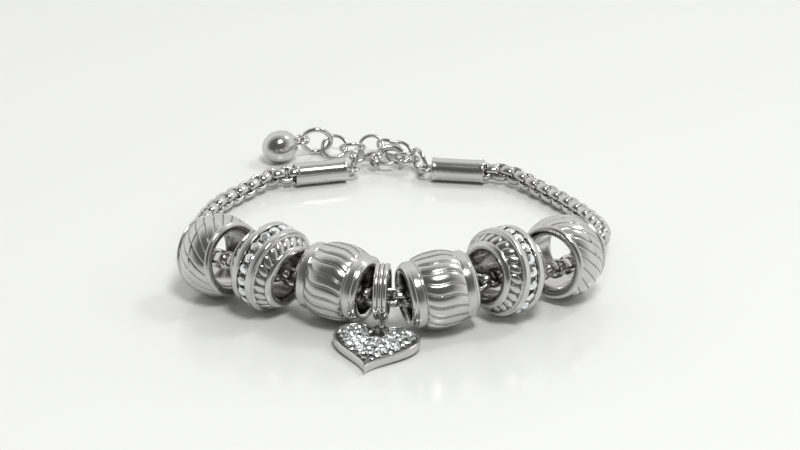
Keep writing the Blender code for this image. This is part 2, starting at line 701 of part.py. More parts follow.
def cap_frame(place, heading):
    """A cap's frame: X from its mouth towards its eye; place is the middle of the eye."""
    axis = level(heading)
    mouth = place - axis * (CAP_LENGTH + CAP_EYE_RADIUS - CAP_EYE_WIRE * CAP_EYE_SINK)
    return place_matrix(mouth, axis, level(heading + 90))


def make_cap(name, place, heading):
    matrix = cap_frame(place, heading)
    tube = CAP_RADIUS - CAP_RIM
    socket = CHAIN_RADIUS + CAP_SOCKET_GAP
    rows = (
        (CAP_SOCKET_DEPTH, socket), (0.0, socket), (0.0, tube), (CAP_RIM_WIDTH * 0.3, CAP_RADIUS),
        (CAP_RIM_WIDTH * 0.8, CAP_RADIUS), (CAP_RIM_WIDTH, tube), (CAP_LENGTH - CAP_RIM_WIDTH, tube),
        (CAP_LENGTH, tube * CAP_END_SHARE),
    )
    loops = [[matrix @ point for point in circle(x, r, ROUND_SIDES)] for x, r in rows]
    obj = loops_solid(name, loops)
    eye = place_matrix(place, level(heading), level(heading + 90))
    combine(obj, ring("eye", eye, CAP_EYE_RADIUS, CAP_EYE_WIRE), "UNION")
    return steel(smooth(obj))


def smooth_curve(stops):
    """Many points on a smooth curve through the stops."""
    fine = []
    for i in range(len(stops) - 1):
        before = stops[max(i - 1, 0)]
        after = stops[min(i + 2, len(stops) - 1)]
        scale = (stops[i + 1] - stops[i]).length
        start_slope = tangent(before, stops[i], stops[i + 1]) * scale
        end_slope = tangent(stops[i], stops[i + 1], after) * scale
        for k in range(CHAIN_FINENESS):
            t = k / CHAIN_FINENESS
            fine.append(
                stops[i] * (2 * t ** 3 - 3 * t ** 2 + 1) + start_slope * (t ** 3 - 2 * t ** 2 + t)
                + stops[i + 1] * (3 * t ** 2 - 2 * t ** 3) + end_slope * (t ** 3 - t ** 2)
            )
    return fine + [stops[-1]]


def chain_points(beads, caps):
    """The chain's way: from one cap's socket through the beads to the other, evenly spaced."""
    spacing = CHAIN_STEP * 2 * CHAIN_RADIUS
    inside = CAP_SOCKET_DEPTH - GAP
    ends = {}
    for side, matrix in caps.items():
        along = matrix.to_3x3() @ Vector((1, 0, 0))
        mouth = matrix.translation
        ends[side] = [mouth + along * inside, mouth, mouth - along * (spacing - inside)]
    stops = list(ends["left"])
    stops += [Vector(stop) * MM for stop in reversed(CHAIN_ROUTE_LEFT)]
    stops += [bead_stop(profile, matrix, shares) for profile, matrix, shares in beads]
    stops += [Vector(stop) * MM for stop in reversed(CHAIN_ROUTE_RIGHT)]
    stops += list(reversed(ends["right"]))
    fine = smooth_curve(stops)
    lengths = [0.0]
    for i in range(1, len(fine)):
        lengths.append(lengths[-1] + (fine[i] - fine[i - 1]).length)
    count = round(lengths[-1] / spacing)
    points = []
    for k in range(count + 1):
        wanted = lengths[-1] * k / count
        i = min(max(np.searchsorted(lengths, wanted), 1), len(fine) - 1)
        share = (wanted - lengths[i - 1]) / (lengths[i] - lengths[i - 1])
        points.append(fine[i - 1].lerp(fine[i], share))
    return points


def tangent(before, point, after):
    """The curve's direction at point, weighed towards its nearer neighbour."""
    first = point - before
    second = after - point
    if first.length == 0:
        return second.normalized()
    if second.length == 0:
        return first.normalized()
    return (first / first.length * second.length + second / second.length * first.length).normalized()


def bead_stop(profile, matrix, shares):
    """Where the chain passes a bead, in shares of its play across and up in the bore."""
    play = min(r for s, r in section_points(profile)) - CHAIN_RADIUS
    return matrix @ Vector((0, shares[0] * play, shares[1] * play))


def make_chain(points):
    curve = bpy.data.curves.new("chain", "CURVE")
    curve.dimensions = "3D"
    curve.bevel_depth = CHAIN_RADIUS
    curve.bevel_resolution = 2
    curve.use_fill_caps = True
    spline = curve.splines.new("POLY")
    spline.points.add(len(points) - 1)
    for i, point in enumerate(points):
        spline.points[i].co = (*point, 1.0)
    obj = bpy.data.objects.new("chain", curve)
    bpy.context.scene.collection.objects.link(obj)
    return steel(obj)


def claw_point(angle):
    """A point of the clasp's claw, which bends as a part of an ellipse round its opening."""
    turn = math.radians(angle)
    middle = CLASP_LENGTH - CLAW_HALF_LENGTH - CLASP_BAR
    return Vector((middle + CLAW_HALF_LENGTH * math.cos(turn), CLAW_HALF_WIDTH * math.sin(turn)))


def lever_reach():
    """From the pivot to the lever's end, clear of the claw's tip."""
    return (claw_point(CLAW_END) - Vector(clasp_pivot())).length - CLASP_BAR - LEVER_GAP


def clasp_pivot():
    return (CLASP_PIVOT_X, -CLASP_HALF_WIDTH * 0.35)


def hub_loop(matrix, x, radius):
    """A circle round the hinge's axis, x away from the middle of the clasp's thickness."""
    hub = matrix @ Matrix.Translation((*clasp_pivot(), 0)) @ Matrix.Rotation(math.pi / 2, 4, "Y")
    return [hub @ point for point in circle(x, radius, ROUND_SIDES)]


def hub_cylinder(name, matrix, half, radius):
    return loops_solid(name, [hub_loop(matrix, x, radius) for x in (-half, half)])


def make_clasp(matrix):
    body = ring("clasp_body", matrix, CLASP_TAIL_RADIUS, CLASP_TAIL_WIRE)
    neck = [(CLASP_TAIL_RADIUS, 0.0), (CLASP_PIVOT_X * 0.6, 0.0), (CLASP_PIVOT_X, 0.0)]
    neck_widths = [CLASP_BAR * 0.7, CLASP_BAR, CLASP_HALF_WIDTH * 0.5]
    neck_depths = [CLASP_TAIL_WIRE, CLASP_HALF_THICKNESS, CLASP_HALF_THICKNESS]
    combine(body, bar("neck", matrix, neck, neck_widths, neck_depths), "UNION")
    arc = [claw_point(angle) for angle in range(CLAW_START, CLAW_END, -CLAW_TURN)] + [claw_point(CLAW_END)]
    shares = [i / len(arc) for i in range(len(arc))]
    widths = [CLASP_BAR * (1.0 - CLAW_NARROWING * share) for share in shares]
    depths = [CLASP_HALF_THICKNESS * (1.0 - CLAW_THINNING * share) for share in shares]
    combine(body, bar("claw", matrix, arc, widths, depths), "UNION")
    slot_half = LEVER_THICKNESS / 2 + LEVER_GAP
    wall = slot_half + FORK_WALL
    combine(body, hub_cylinder("cheeks", matrix, wall, CHEEK_RADIUS), "UNION")
    pivot = clasp_pivot()
    back = pivot[0] - SLOT_BACK
    top = pivot[1] + SLOT_TOP
    below = -2 * CLASP_HALF_WIDTH
    slot = [(back, top), (back, below), (SLOT_FRONT, below), (SLOT_FRONT, top)]
    combine(body, plate("slot", matrix, slot, -slot_half, slot_half), "DIFFERENCE")
    combine(body, hub_cylinder("hole", matrix, 2 * wall, PIN_RADIUS + PIN_GAP), "DIFFERENCE")
    steel(smooth(body))
    steel(smooth(hub_cylinder("clasp_pin", matrix, wall, PIN_RADIUS)))


def lever_outline():
    """The lever's eye, its thumb piece and its bowed arm, as points round them."""
    pivot = Vector(clasp_pivot())
    outline = []
    for angle in LEVER_EYE_ANGLES:
        turn = math.radians(angle)
        outline.append(pivot + Vector((math.cos(turn), math.sin(turn))) * LEVER_EYE_RADIUS)
    outline += [pivot + Vector(corner) * MM for corner in LEVER_THUMB]
    along = (claw_point(CLAW_END) - pivot).normalized()
    across = Vector((-along.y, along.x))
    lower = [(share, -1) for share in LEVER_SHARES]
    upper = [(share, 1) for share in reversed(LEVER_SHARES)]
    for share, side in lower + upper:
        half = side * LEVER_HALF_WIDTH * (1.1 - LEVER_TAPER * share)
        drop = LEVER_BOW * math.sin(math.pi * share)
        outline.append(pivot + along * lever_reach() * share + across * (half - drop))
    return outline


def make_lever(matrix):
    obj = plate("clasp_lever", matrix, lever_outline(), -LEVER_THICKNESS / 2, LEVER_THICKNESS / 2)
    hole = hub_cylinder("hole", matrix, LEVER_THICKNESS, PIN_RADIUS + LEVER_GAP)
    steel(smooth(combine(obj, hole, "DIFFERENCE")))


def make_extender(held):
    """The links from the held one to the end ring, and the drop in it."""
    link = (LINK_RADIUS, LINK_WIRE)
    end = (END_RING_RADIUS, END_RING_WIRE)
    place = held
    steel(smooth(ring("extender_link_1", leaning(place, HELD_LINK_HEADING, HELD_LINK_LEAN), *link)))
    for i, spec in enumerate(EXTENDER):
        place = step_from(place, spec["step"], link, link)
        name = "extender_link_" + str(i + 2)
        steel(smooth(ring(name, leaning(place, spec["heading"], spec["lean"]), *link)))
    place = step_from(place, END_RING["step"], link, end)
    frame = leaning(place, END_RING["heading"], END_RING["lean"])
    steel(smooth(ring("extender_ring", frame, *end)))
    make_drop(frame)


def make_drop(frame):
    """A round drop on the floor; the ring's wire runs through its eye."""
    turn = frame.to_3x3()
    normal = turn @ Vector((0, 0, 1))
    out = level(DROP_BEARING)
    out = (out - normal * out.dot(normal)).normalized()
    eye_place = frame.translation + out * END_RING_RADIUS
    length = DROP_HALF_LENGTH + DROP_NECK_LENGTH + DROP_EYE_RADIUS * 0.6
    fall = DROP_RADIUS + FLOOR_GAP - eye_place.z
    forward = math.sqrt(length ** 2 - fall ** 2)
    middle = eye_place + level(DROP_BEARING) * forward + Vector((0, 0, fall))
    axis = (eye_place - middle).normalized()
    matrix = place_matrix(middle, axis, axis.cross(normal))
    rows = []
    for angle in DROP_ANGLES:
        turn = math.radians(angle)
        rows.append((-DROP_HALF_LENGTH * math.cos(turn), DROP_RADIUS * math.sin(turn)))
    rows.append((DROP_HALF_LENGTH + DROP_NECK_LENGTH * 0.2, DROP_NECK_RADIUS))
    rows.append((length - DROP_EYE_RADIUS, DROP_NECK_RADIUS))
    loops = [[matrix @ point for point in circle(x, r, ROUND_SIDES)] for x, r in rows]
    obj = loops_solid("drop_charm", loops)
    eye = place_matrix(eye_place, axis, normal)
    combine(obj, ring("eye", eye, DROP_EYE_RADIUS, DROP_EYE_WIRE), "UNION")
    return steel(smooth(obj))


def centre(objects):
    """Moves everything so that the middle of its foot is at the origin."""
    graph = bpy.context.evaluated_depsgraph_get()
    corners = []
    for obj in objects:
        mesh = obj.evaluated_get(graph).to_mesh()
        corners += [tuple(vertex.co) for vertex in mesh.vertices]
    low = np.min(corners, axis=0)
    high = np.max(corners, axis=0)
    middle = (low + high) / 2
    for obj in objects:
        obj.location = (-middle[0], -middle[1], -low[2])


def build():
    hanger_matrix = hanger_frames()[0]
    hanger = hanger_profile()
    left = row_of_beads(BEADS_LEFT, 1, hanger, hanger_matrix)
    right = row_of_beads(BEADS_RIGHT, -1, hanger, hanger_matrix)
    for spec, profile, matrix in left + right:
        make_bead(spec, profile, matrix)
    make_hanger()
    make_heart()
    places = ring_places()
    caps = {
        "left": cap_frame(places["cap_left"], CAP_LEFT["heading"]),
        "right": cap_frame(places["cap_right"], CAP_RIGHT["heading"]),
    }
    make_cap("end_cap_left", places["cap_left"], CAP_LEFT["heading"])
    make_cap("end_cap_right", places["cap_right"], CAP_RIGHT["heading"])
    row = [(profile, matrix, spec["chain"]) for spec, profile, matrix in reversed(left)]
    row.append((hanger, hanger_matrix, HANGER_CHAIN))
    row += [(profile, matrix, spec["chain"]) for spec, profile, matrix in right]
    make_chain(chain_points(row, caps))
    left_frame = leaning(places["jump_left"], JUMP_LEFT["heading"], JUMP_LEFT["lean"])
    right_frame = leaning(places["jump_right"], JUMP_RIGHT["heading"], JUMP_RIGHT["lean"])
    steel(smooth(ring("jump_ring_left", left_frame, JUMP_RADIUS, JUMP_WIRE)))
    steel(smooth(ring("jump_ring_right", right_frame, JUMP_RADIUS, JUMP_WIRE)))
    clasp = leaning(places["clasp"], CLASP_HEADING, CLASP_LEAN)
    make_clasp(clasp)
    make_lever(clasp)
    make_extender(places["held"])
    centre(list(bpy.context.scene.objects))


for old in list(bpy.data.objects):
    bpy.data.objects.remove(old, do_unlink=True)
build()
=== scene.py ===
import math

import bpy
import numpy as np
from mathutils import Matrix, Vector


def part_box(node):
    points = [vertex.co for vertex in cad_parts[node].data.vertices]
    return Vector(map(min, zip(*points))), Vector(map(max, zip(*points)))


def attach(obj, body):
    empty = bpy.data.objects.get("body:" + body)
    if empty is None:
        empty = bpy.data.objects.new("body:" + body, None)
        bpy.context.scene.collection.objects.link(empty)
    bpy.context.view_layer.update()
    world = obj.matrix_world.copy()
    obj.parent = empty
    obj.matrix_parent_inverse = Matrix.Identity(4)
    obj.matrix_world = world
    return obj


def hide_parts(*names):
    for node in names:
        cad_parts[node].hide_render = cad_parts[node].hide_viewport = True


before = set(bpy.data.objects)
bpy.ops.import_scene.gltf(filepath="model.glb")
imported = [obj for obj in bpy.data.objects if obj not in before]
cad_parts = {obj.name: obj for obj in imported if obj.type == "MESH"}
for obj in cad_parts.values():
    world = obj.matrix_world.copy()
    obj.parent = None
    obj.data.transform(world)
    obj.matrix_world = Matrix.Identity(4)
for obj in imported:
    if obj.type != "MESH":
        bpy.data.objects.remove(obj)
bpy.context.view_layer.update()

mm = 0.001
fullTurn = 2 * math.pi


# Working in arrays

def unit(v):
    return np.asarray(v, float) / np.linalg.norm(v)


def unitRows(v):
    return v / np.linalg.norm(v, axis=-1, keepdims=True)


def evenAngles(count):
    return np.linspace(0, fullTurn, count, endpoint=False)


def level(heading):
    # the level direction at this angle from +X, in degrees
    a = math.radians(heading)
    return np.array((math.cos(a), math.sin(a), 0))


def leftOf(axis):
    # the level direction a quarter turn to the left of axis
    return np.array((-axis[1], axis[0], 0))


def frameFrom(place, xAxis, yAxis):
    # origin and a 3x3 whose columns are the axes; Y is squared to X
    x = unit(xAxis)
    z = unit(np.cross(x, yAxis))
    return np.asarray(place, float), np.stack((x, np.cross(z, x), z), axis=1)


def leaningFrame(place, heading, lean):
    # X lies level along heading, Y leans up from the floor by lean, both in degrees
    along, l = level(heading), math.radians(lean)
    return frameFrom(place, along, leftOf(along) * math.cos(l) + np.array((0, 0, math.sin(l))))


def hingeFrame(where):
    # the same frame with its Z axis first, for shapes carried round the hinge
    return where[0], where[1][:, (2, 0, 1)]


def placed(points, where):
    # local points turned by the frame's axes, then moved to its origin
    origin, axes = where
    return points @ axes.T + origin


def nodeMiddle(node):
    low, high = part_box(node)
    return np.array((low + high) / 2)


heldLinkPlace = np.array((1.12, 18.93, 1.95))   # the held link's middle in the layout, in millimetres


def layoutShift():
    # how far the solids' frame lies from the layout in which the chain's way was chosen
    return nodeMiddle("extender_link_1") - heldLinkPlace * mm


def smoothStep(low, high, x):
    t = np.clip((x - low) / (high - low), 0, 1)
    return t * t * (3 - 2 * t)


def nearest(points, line):
    # each point's distance from the nearest point of the line
    return np.linalg.norm(points[:, None] - line[None], axis=2).min(axis=1)


def insideLine(points, edge):
    # a point is inside when a level ray to its right crosses the outline an odd number of times
    after = np.roll(edge, -1, axis=0)
    step = after - edge
    crosses = (edge[None, :, 1] > points[:, None, 1]) != (after[None, :, 1] > points[:, None, 1])
    slope = step[:, 0] / np.where(step[:, 1] == 0, 1, step[:, 1])
    crossing = edge[None, :, 0] + slope[None] * (points[:, None, 1] - edge[None, :, 1])
    return (crosses & (points[:, None, 0] < crossing)).sum(axis=1) % 2 == 1


def roundedLoop(points, times=2):
    # corner cutting: every corner becomes two points a quarter of the way along its sides
    loop = np.asarray(points, float)
    for _ in range(times):
        after = np.roll(loop, -1, axis=0)
        near, far = loop * 0.75 + after * 0.25, loop * 0.25 + after * 0.75
        loop = np.stack((near, far), axis=1).reshape(-1, loop.shape[1])
    return loop


def evenly(points, count, weight=None, closed=True):
    # the same line with its points spaced by length, or by length times weight
    line = np.concatenate((points, points[:1])) if closed else points
    step = np.linalg.norm(np.diff(line, axis=0), axis=1)
    if weight is not None:
        step = step * weight(line[:-1] * 0.5 + line[1:] * 0.5)
    length = np.concatenate(((0,), np.cumsum(step)))
    wanted = np.linspace(0, length[-1], count, endpoint=not closed)
    return np.stack([np.interp(wanted, length, line[:, k]) for k in range(line.shape[1])], axis=1)


def hermite(stops, leaving, reaching, perSpan):
    # cubics between neighbouring stops, each with its own slope at its start and at its end
    t = np.linspace(0, 1, perSpan, endpoint=False)[None, :, None]
    a, b = stops[:-1, None], stops[1:, None]
    ends = a * (2 * t**3 - 3 * t**2 + 1) + b * (3 * t**2 - 2 * t**3)
    fine = ends + leaving[:, None] * (t**3 - 2 * t**2 + t) + reaching[:, None] * (t**3 - t**2)
    return np.concatenate((fine.reshape(-1, stops.shape[1]), stops[-1:]))


def smoothLine(stops, perSpan):
    # a curve through the stops, its slope at each one along the line between its neighbours
    slope = np.gradient(stops, axis=0)
    return hermite(stops, slope[:-1], slope[1:], perSpan)


def squaredCircle(angle, power):
    # the cosine and sine of a circle that bulges towards a square as power grows over 2
    return [np.sign(f(angle)) * np.abs(f(angle)) ** (2 / power) for f in (np.cos, np.sin)]


# Meshes: a shell is (points, quads, triangles, tone); tone is 0 in a groove and 1 on a crest, and the
# darkened steel paints shade where it is low

def gridShell(grid, wrapRows=False, tone=None):
    # quads between grid points, columns joined round; open row ends close on their middle points
    rows, columns = grid.shape[:2]
    points = grid.reshape(-1, 3)
    tones = np.ones(len(points)) if tone is None else np.broadcast_to(tone, (rows, columns)).reshape(-1)
    index = np.arange(rows * columns).reshape(rows, columns)
    first, last = index[0], index[-1]
    index = np.concatenate((index, index[:, :1]), axis=1)
    if wrapRows:
        index = np.concatenate((index, index[:1]), axis=0)
    quads = np.stack((index[:-1, :-1], index[1:, :-1], index[1:, 1:], index[:-1, 1:]), axis=-1)
    quads = quads.reshape(-1, 4)
    triangles = np.zeros((0, 3), int)
    if not wrapRows:
        n = len(points)
        points = np.concatenate((points, grid[0].mean(axis=0)[None], grid[-1].mean(axis=0)[None]))
        tones = np.concatenate((tones, (tones[0], tones[-1])))
        near = np.stack((first, np.roll(first, -1), np.full(columns, n)), axis=1)
        far = np.stack((np.roll(last, -1), last, np.full(columns, n + 1)), axis=1)
        triangles = np.concatenate((near, far))
    return outward((points, quads, triangles, tones))


def outward(shell):
    # the signed volume of the fan of triangles from the origin says which way the faces point
    points, quads, triangles, tones = shell
    fan = np.concatenate((quads[:, :3], quads[:, (0, 2, 3)], triangles))
    a, b, c = points[fan[:, 0]], points[fan[:, 1]], points[fan[:, 2]]
    if (a * np.cross(b, c)).sum() < 0:
        return points, quads[:, ::-1], triangles[:, ::-1], tones
    return shell


def scattered(shell, origins, axes):
    # one copy of the shell for each origin and 3x3 of axes, as whole arrays
    points, quads, triangles, tones = shell
    count = len(origins)
    every = np.einsum("kab,nb->kna", axes, points) + origins[:, None]
    shift = (np.arange(count) * len(points))[:, None, None]
    return (every.reshape(-1, 3), (quads[None] + shift).reshape(-1, 4),
            (triangles[None] + shift).reshape(-1, 3), np.tile(tones, count))


def repeated(axes, count):
    return np.tile(axes, (count, 1, 1))


def shuffled(axes, tilt, seed):
    # each frame spun about its Z by any angle and tipped by up to tilt degrees
    dice = np.random.default_rng(seed)
    spin = dice.uniform(0, fullTurn, len(axes))
    tip = np.radians(dice.uniform(-tilt, tilt, (len(axes), 2)))
    x, y, z = axes[:, :, 0], axes[:, :, 1], axes[:, :, 2]
    up = unitRows(z + x * tip[:, :1] + y * tip[:, 1:])
    along = x * np.cos(spin)[:, None] + y * np.sin(spin)[:, None]
    across = unitRows(np.cross(up, along))
    return np.stack((np.cross(across, up), across, up), axis=2)


def makePiece(name, shells, material, nodes=(), body="bracelet", flat=False):
    # the shells become one mesh, which rides on a body and stands in for the nodes
    points = np.concatenate([s[0] for s in shells])
    starts = np.cumsum([0] + [len(s[0]) for s in shells[:-1]])
    quads = np.concatenate([s[1] + k for s, k in zip(shells, starts)])
    triangles = np.concatenate([s[2] + k for s, k in zip(shells, starts)])
    mesh = bpy.data.meshes.new(name)
    mesh.vertices.add(len(points))
    mesh.vertices.foreach_set("co", points.astype(np.float32).ravel())
    corners = np.concatenate((quads.ravel(), triangles.ravel())).astype(np.int32)
    mesh.loops.add(len(corners))
    mesh.loops.foreach_set("vertex_index", corners)
    quadStarts = np.arange(len(quads)) * 4
    triangleStarts = len(quads) * 4 + np.arange(len(triangles)) * 3
    begin = np.concatenate((quadStarts, triangleStarts)).astype(np.int32)
    mesh.polygons.add(len(begin))
    mesh.polygons.foreach_set("loop_start", begin)
    mesh.polygons.foreach_set("use_smooth", np.full(len(begin), not flat))
    tone = mesh.attributes.new("tone", "FLOAT", "POINT")
    tone.data.foreach_set("value", np.concatenate([s[3] for s in shells]).astype(np.float32))
    mesh.update(calc_edges=True)
    mesh.validate()
    mesh.materials.append(material)
    piece = bpy.data.objects.new(name, mesh)
    bpy.context.scene.collection.objects.link(piece)
    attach(piece, body)
    if nodes:
        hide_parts(*nodes)


def latheShell(profile, where, columns, relief=None, wrapRows=True):
    # a profile of (place, radius) carried round the X axis; relief gives the added radius and the tone
    angle = evenAngles(columns)
    s, r = profile[:, :1], profile[:, 1:]
    lift, tone = relief(s, r, angle[None]) if relief else (np.zeros((1, columns)), None)
    radius = r + lift
    grid = np.stack((s + 0 * radius, radius * np.cos(angle), radius * np.sin(angle)), axis=-1)
    return gridShell(placed(grid, where), wrapRows, tone)


def ringShell(where, radius, wire, stretch=1.0, around=72, sides=20):
    # a ring of wire: the wire's circle carried round an ellipse in the frame's XY plane
    a, b = evenAngles(around)[:, None], evenAngles(sides)[None]
    out = unitRows(np.stack((stretch * np.cos(a), np.sin(a)), axis=-1))
    x = radius * np.cos(a) + wire * np.cos(b) * out[..., 0]
    y = radius * stretch * np.sin(a) + wire * np.cos(b) * out[..., 1]
    return gridShell(placed(np.stack((x, y, wire * np.sin(b) + 0 * x), axis=-1), where), wrapRows=True)


barEnd = {"rows": 4, "first": 0.35}   # a bar's ends draw in over their last rows, so that they close round


def barShell(where, path, widths, depths, sides=24, power=2.0, perSpan=8):
    # a rounded section carried along a line in the frame's XY plane; widths and depths are halves
    line = smoothLine(np.column_stack((path, widths, depths)), perSpan)
    along = unitRows(np.gradient(line[:, :2], axis=0))
    across, up = squaredCircle(evenAngles(sides)[None], power)
    across, up = across * line[:, 2:3], up * line[:, 3:4]
    row = np.arange(len(line))
    share = np.clip((np.minimum(row, row[::-1]) + barEnd["first"]) / barEnd["rows"], 0, 1)
    draw = np.sqrt(1 - (1 - share) ** 2)[:, None]
    x = line[:, 0:1] - along[:, 1:] * across * draw
    y = line[:, 1:2] + along[:, :1] * across * draw
    return gridShell(placed(np.stack((x, y, up * draw), axis=-1), where))


# Shader maths

class Value:
    # a socket that can be added, multiplied and subtracted
    def __init__(self, maker, socket):
        self.maker, self.socket = maker, socket

    def __add__(self, other):
        return self.maker.math("ADD", self, other)

    __radd__ = __add__

    def __mul__(self, other):
        return self.maker.math("MULTIPLY", self, other)

    __rmul__ = __mul__

    def __sub__(self, other):
        return self.maker.math("SUBTRACT", self, other)

    def __rsub__(self, other):
        return self.maker.math("SUBTRACT", other, self)


class Nodes:
    # a node tree; node() adds any node from its type, its settings and its socket values or links
    def __init__(self, tree):
        self.tree = tree

    def node(self, kind, settings=None, sockets=None):
        made = self.tree.nodes.new(kind)
        for key, value in (settings or {}).items():
            if key == "stops":
                elements = made.color_ramp.elements
                while len(elements) < len(value):
                    elements.new(0.5)
                for element, (place, color) in zip(elements, value):
                    element.position, element.color = place, color
            else:
                setattr(made, key, value)
        for key, value in (sockets or {}).items():
            self.connect(value, made.inputs[key])
        return made

    def connect(self, value, socket):
        if isinstance(value, Value):
            self.tree.links.new(value.socket, socket)
        elif isinstance(value, bpy.types.NodeSocket):
            self.tree.links.new(value, socket)
        else:
            socket.default_value = value

    def math(self, operation, *values):
        made = self.node("ShaderNodeMath", {"operation": operation}, dict(enumerate(values)))
        return Value(self, made.outputs[0])

    def mix(self, factor, a, b):
        # index 6 and 7 are the colour inputs of a Mix node, and 2 its colour output
        made = self.node("ShaderNodeMix", {"data_type": "RGBA"}, {"Factor": factor, 6: a, 7: b})
        return made.outputs[2]


class Finish(Nodes):
    # a material; constants are set on its shader's own sockets, and set() links what varies
    def __init__(self, name, **constants):
        self.material = bpy.data.materials.new(name)
        self.material.use_nodes = True
        super().__init__(self.material.node_tree)
        self.shader = self.tree.nodes["Principled BSDF"]
        self.set(**constants)

    def set(self, **sockets):
        for name, value in sockets.items():
            self.connect(value, self.shader.inputs[name.replace("_", " ")])


def scaled(color, share):
    return tuple(c * share for c in color[:3]) + (1,)


def noise(finish, scale, detail=3.0, stretch=(1, 1, 1)):
    # noise on object coordinates, scale in grains per millimetre
    place = finish.node("ShaderNodeTexCoord").outputs["Object"]
    size = tuple(scale / mm * k for k in stretch)
    mapping = finish.node("ShaderNodeMapping", None, {"Vector": place, "Scale": size})
    sockets = {"Vector": mapping.outputs[0], "Scale": 1.0, "Detail": detail}
    return Value(finish, finish.node("ShaderNodeTexNoise", None, sockets).outputs["Fac"])


steelLook = {
    "bright": (0.62, 0.615, 0.60, 1), "dull share": 0.86, "dull mix": 0.25,
    # shade: the dark colour painted into grooves and recesses as shade, where the mesh's tone is low
    "shade": (0.13, 0.128, 0.122, 1),
    "roughness": 0.17, "groove roughness": 0.38, "cloud roughness": 0.08, "hair roughness": 0.05,
    "cloud scale": 0.35, "hair scale": 2.2, "hair detail": 2.0, "hair stretch": (1, 9, 1),
    "scratch": 0.010, "scratch strength": 0.12, "cloud height": 0.6,
}


def polishedSteel(name, look, darkened=True):
    # polish: cloudy roughness, hairline scratches in the bump, painted shade in the grooves, which are
    # duller too
    finish = Finish(name, Metallic=1.0)
    clouds = noise(finish, look["cloud scale"])
    hair = noise(finish, look["hair scale"], look["hair detail"], look["hair stretch"])
    roughness = look["roughness"] + (clouds - 0.5) * look["cloud roughness"]
    roughness = roughness + (hair - 0.5) * look["hair roughness"]
    dull = scaled(look["bright"], look["dull share"])
    color = finish.mix(clouds * look["dull mix"], look["bright"], dull)
    if darkened:
        tone = Value(finish, finish.node("ShaderNodeAttribute", {"attribute_name": "tone"}).outputs["Fac"])
        groove = 1 - tone
        # painted shade: where tone is low the colour is mixed towards the dark shade colour
        color = finish.mix(groove, color, look["shade"])
        roughness = roughness + groove * (look["groove roughness"] - look["roughness"])
    height = hair + clouds * look["cloud height"]
    bump = finish.node("ShaderNodeBump", None, {
        "Height": height, "Strength": look["scratch strength"], "Distance": look["scratch"] * mm})
    finish.set(Base_Color=color, Roughness=roughness, Normal=bump.outputs[0])
    return finish.material


stoneLook = {
    "color": (0.97, 0.975, 0.98, 1), "shade": (0.80, 0.82, 0.84, 1), "metallic": 0.9, "ior": 2.1,
    "cloud scale": 0.9, "roughness": 0.02, "cloud roughness": 0.04,
}


def cutStone(name, look):
    # facets mirror the room, each stone a little brighter or duller than the next
    finish = Finish(name, Metallic=look["metallic"], IOR=look["ior"])
    clouds = noise(finish, look["cloud scale"])
    finish.set(Base_Color=finish.mix(clouds, look["color"], look["shade"]),
               Roughness=look["roughness"] + clouds * look["cloud roughness"])
    return finish.material


steel = polishedSteel("polished steel with painted shade", steelLook)
plainSteel = polishedSteel("plain steel", dict(steelLook, roughness=0.16), darkened=False)
stone = cutStone("cut stone", stoneLook)
print("finishes made")


# Beads: half profiles of (place, radius) from the middle out and back into the bore

def mirroredLoop(half):
    near = [(-s, r) for s, r in reversed(half)]
    return np.array(near + list(half)) * mm


def beadFrame(node, spec):
    # X along the bore; side is 1 where it points away from the picture's left
    turn, tilt = math.radians(spec["heading"]), math.radians(spec["lean"])
    flat = math.cos(tilt)
    axis = np.array((spec["side"] * math.cos(turn) * flat, -math.sin(turn) * flat, math.sin(tilt)))
    return frameFrom(nodeMiddle(node), axis, leftOf(axis))


leafBead = {
    "places": {
        "leaf_bead_left": {"heading": 43.0, "lean": 9.0, "side": 1},
        "leaf_bead_right": {"heading": 53.0, "lean": 5.4, "side": -1},
    },
    "half": [
        (0.05, 5.86), (0.8, 5.82), (1.6, 5.62), (2.35, 5.30), (2.62, 5.13), (2.70, 5.13), (2.74, 5.26),
        (2.96, 5.25), (3.16, 5.08), (3.24, 4.78), (3.22, 4.42), (3.08, 4.10), (2.80, 3.86), (2.35, 3.73),
        (1.7, 3.70),
    ],
    "rows": 120, "columns": 400,
    "bore": 3.85, "count": 20, "turn": 1.5, "bend": 0.25, "rim": 2.62, "relief": 0.24,
    "flatness": 5, "slope": 0.25, "line": (0.80, 0.97), "starts": (0.02, 0.08), "stops": (0.92, 0.99),
    "ridge height": 0.03, "ridge width": 0.10,
}


def leafRelief(s, r, angle):
    # leaf: a flat-topped crest across each spacing, sheared round the bead by a turn that grows to the rim
    look = leafBead
    outside = r > look["bore"] * mm
    part = np.abs(s) / (look["rim"] * mm)
    grown = (1 - look["bend"]) * part + look["bend"] * np.clip(part, 0, 1) ** 2
    t = np.mod(look["count"] * angle / fullTurn - np.sign(s) * look["turn"] * grown, 1)
    away = np.abs(2 * t - 1)
    crest = np.sqrt(np.clip(1 - away ** look["flatness"], 0, 1)) * (1 - look["slope"]) + look["slope"] * t
    zone = smoothStep(*look["starts"], part) * (1 - smoothStep(*look["stops"], part)) * outside
    ridge = np.exp(-((s / (look["ridge width"] * mm)) ** 2)) * look["ridge height"] * mm * outside
    # the tone paints shade along the sunk grooves between the leaves
    return ridge - look["relief"] * mm * (1 - crest) * zone, 1 - zone * smoothStep(*look["line"], away)


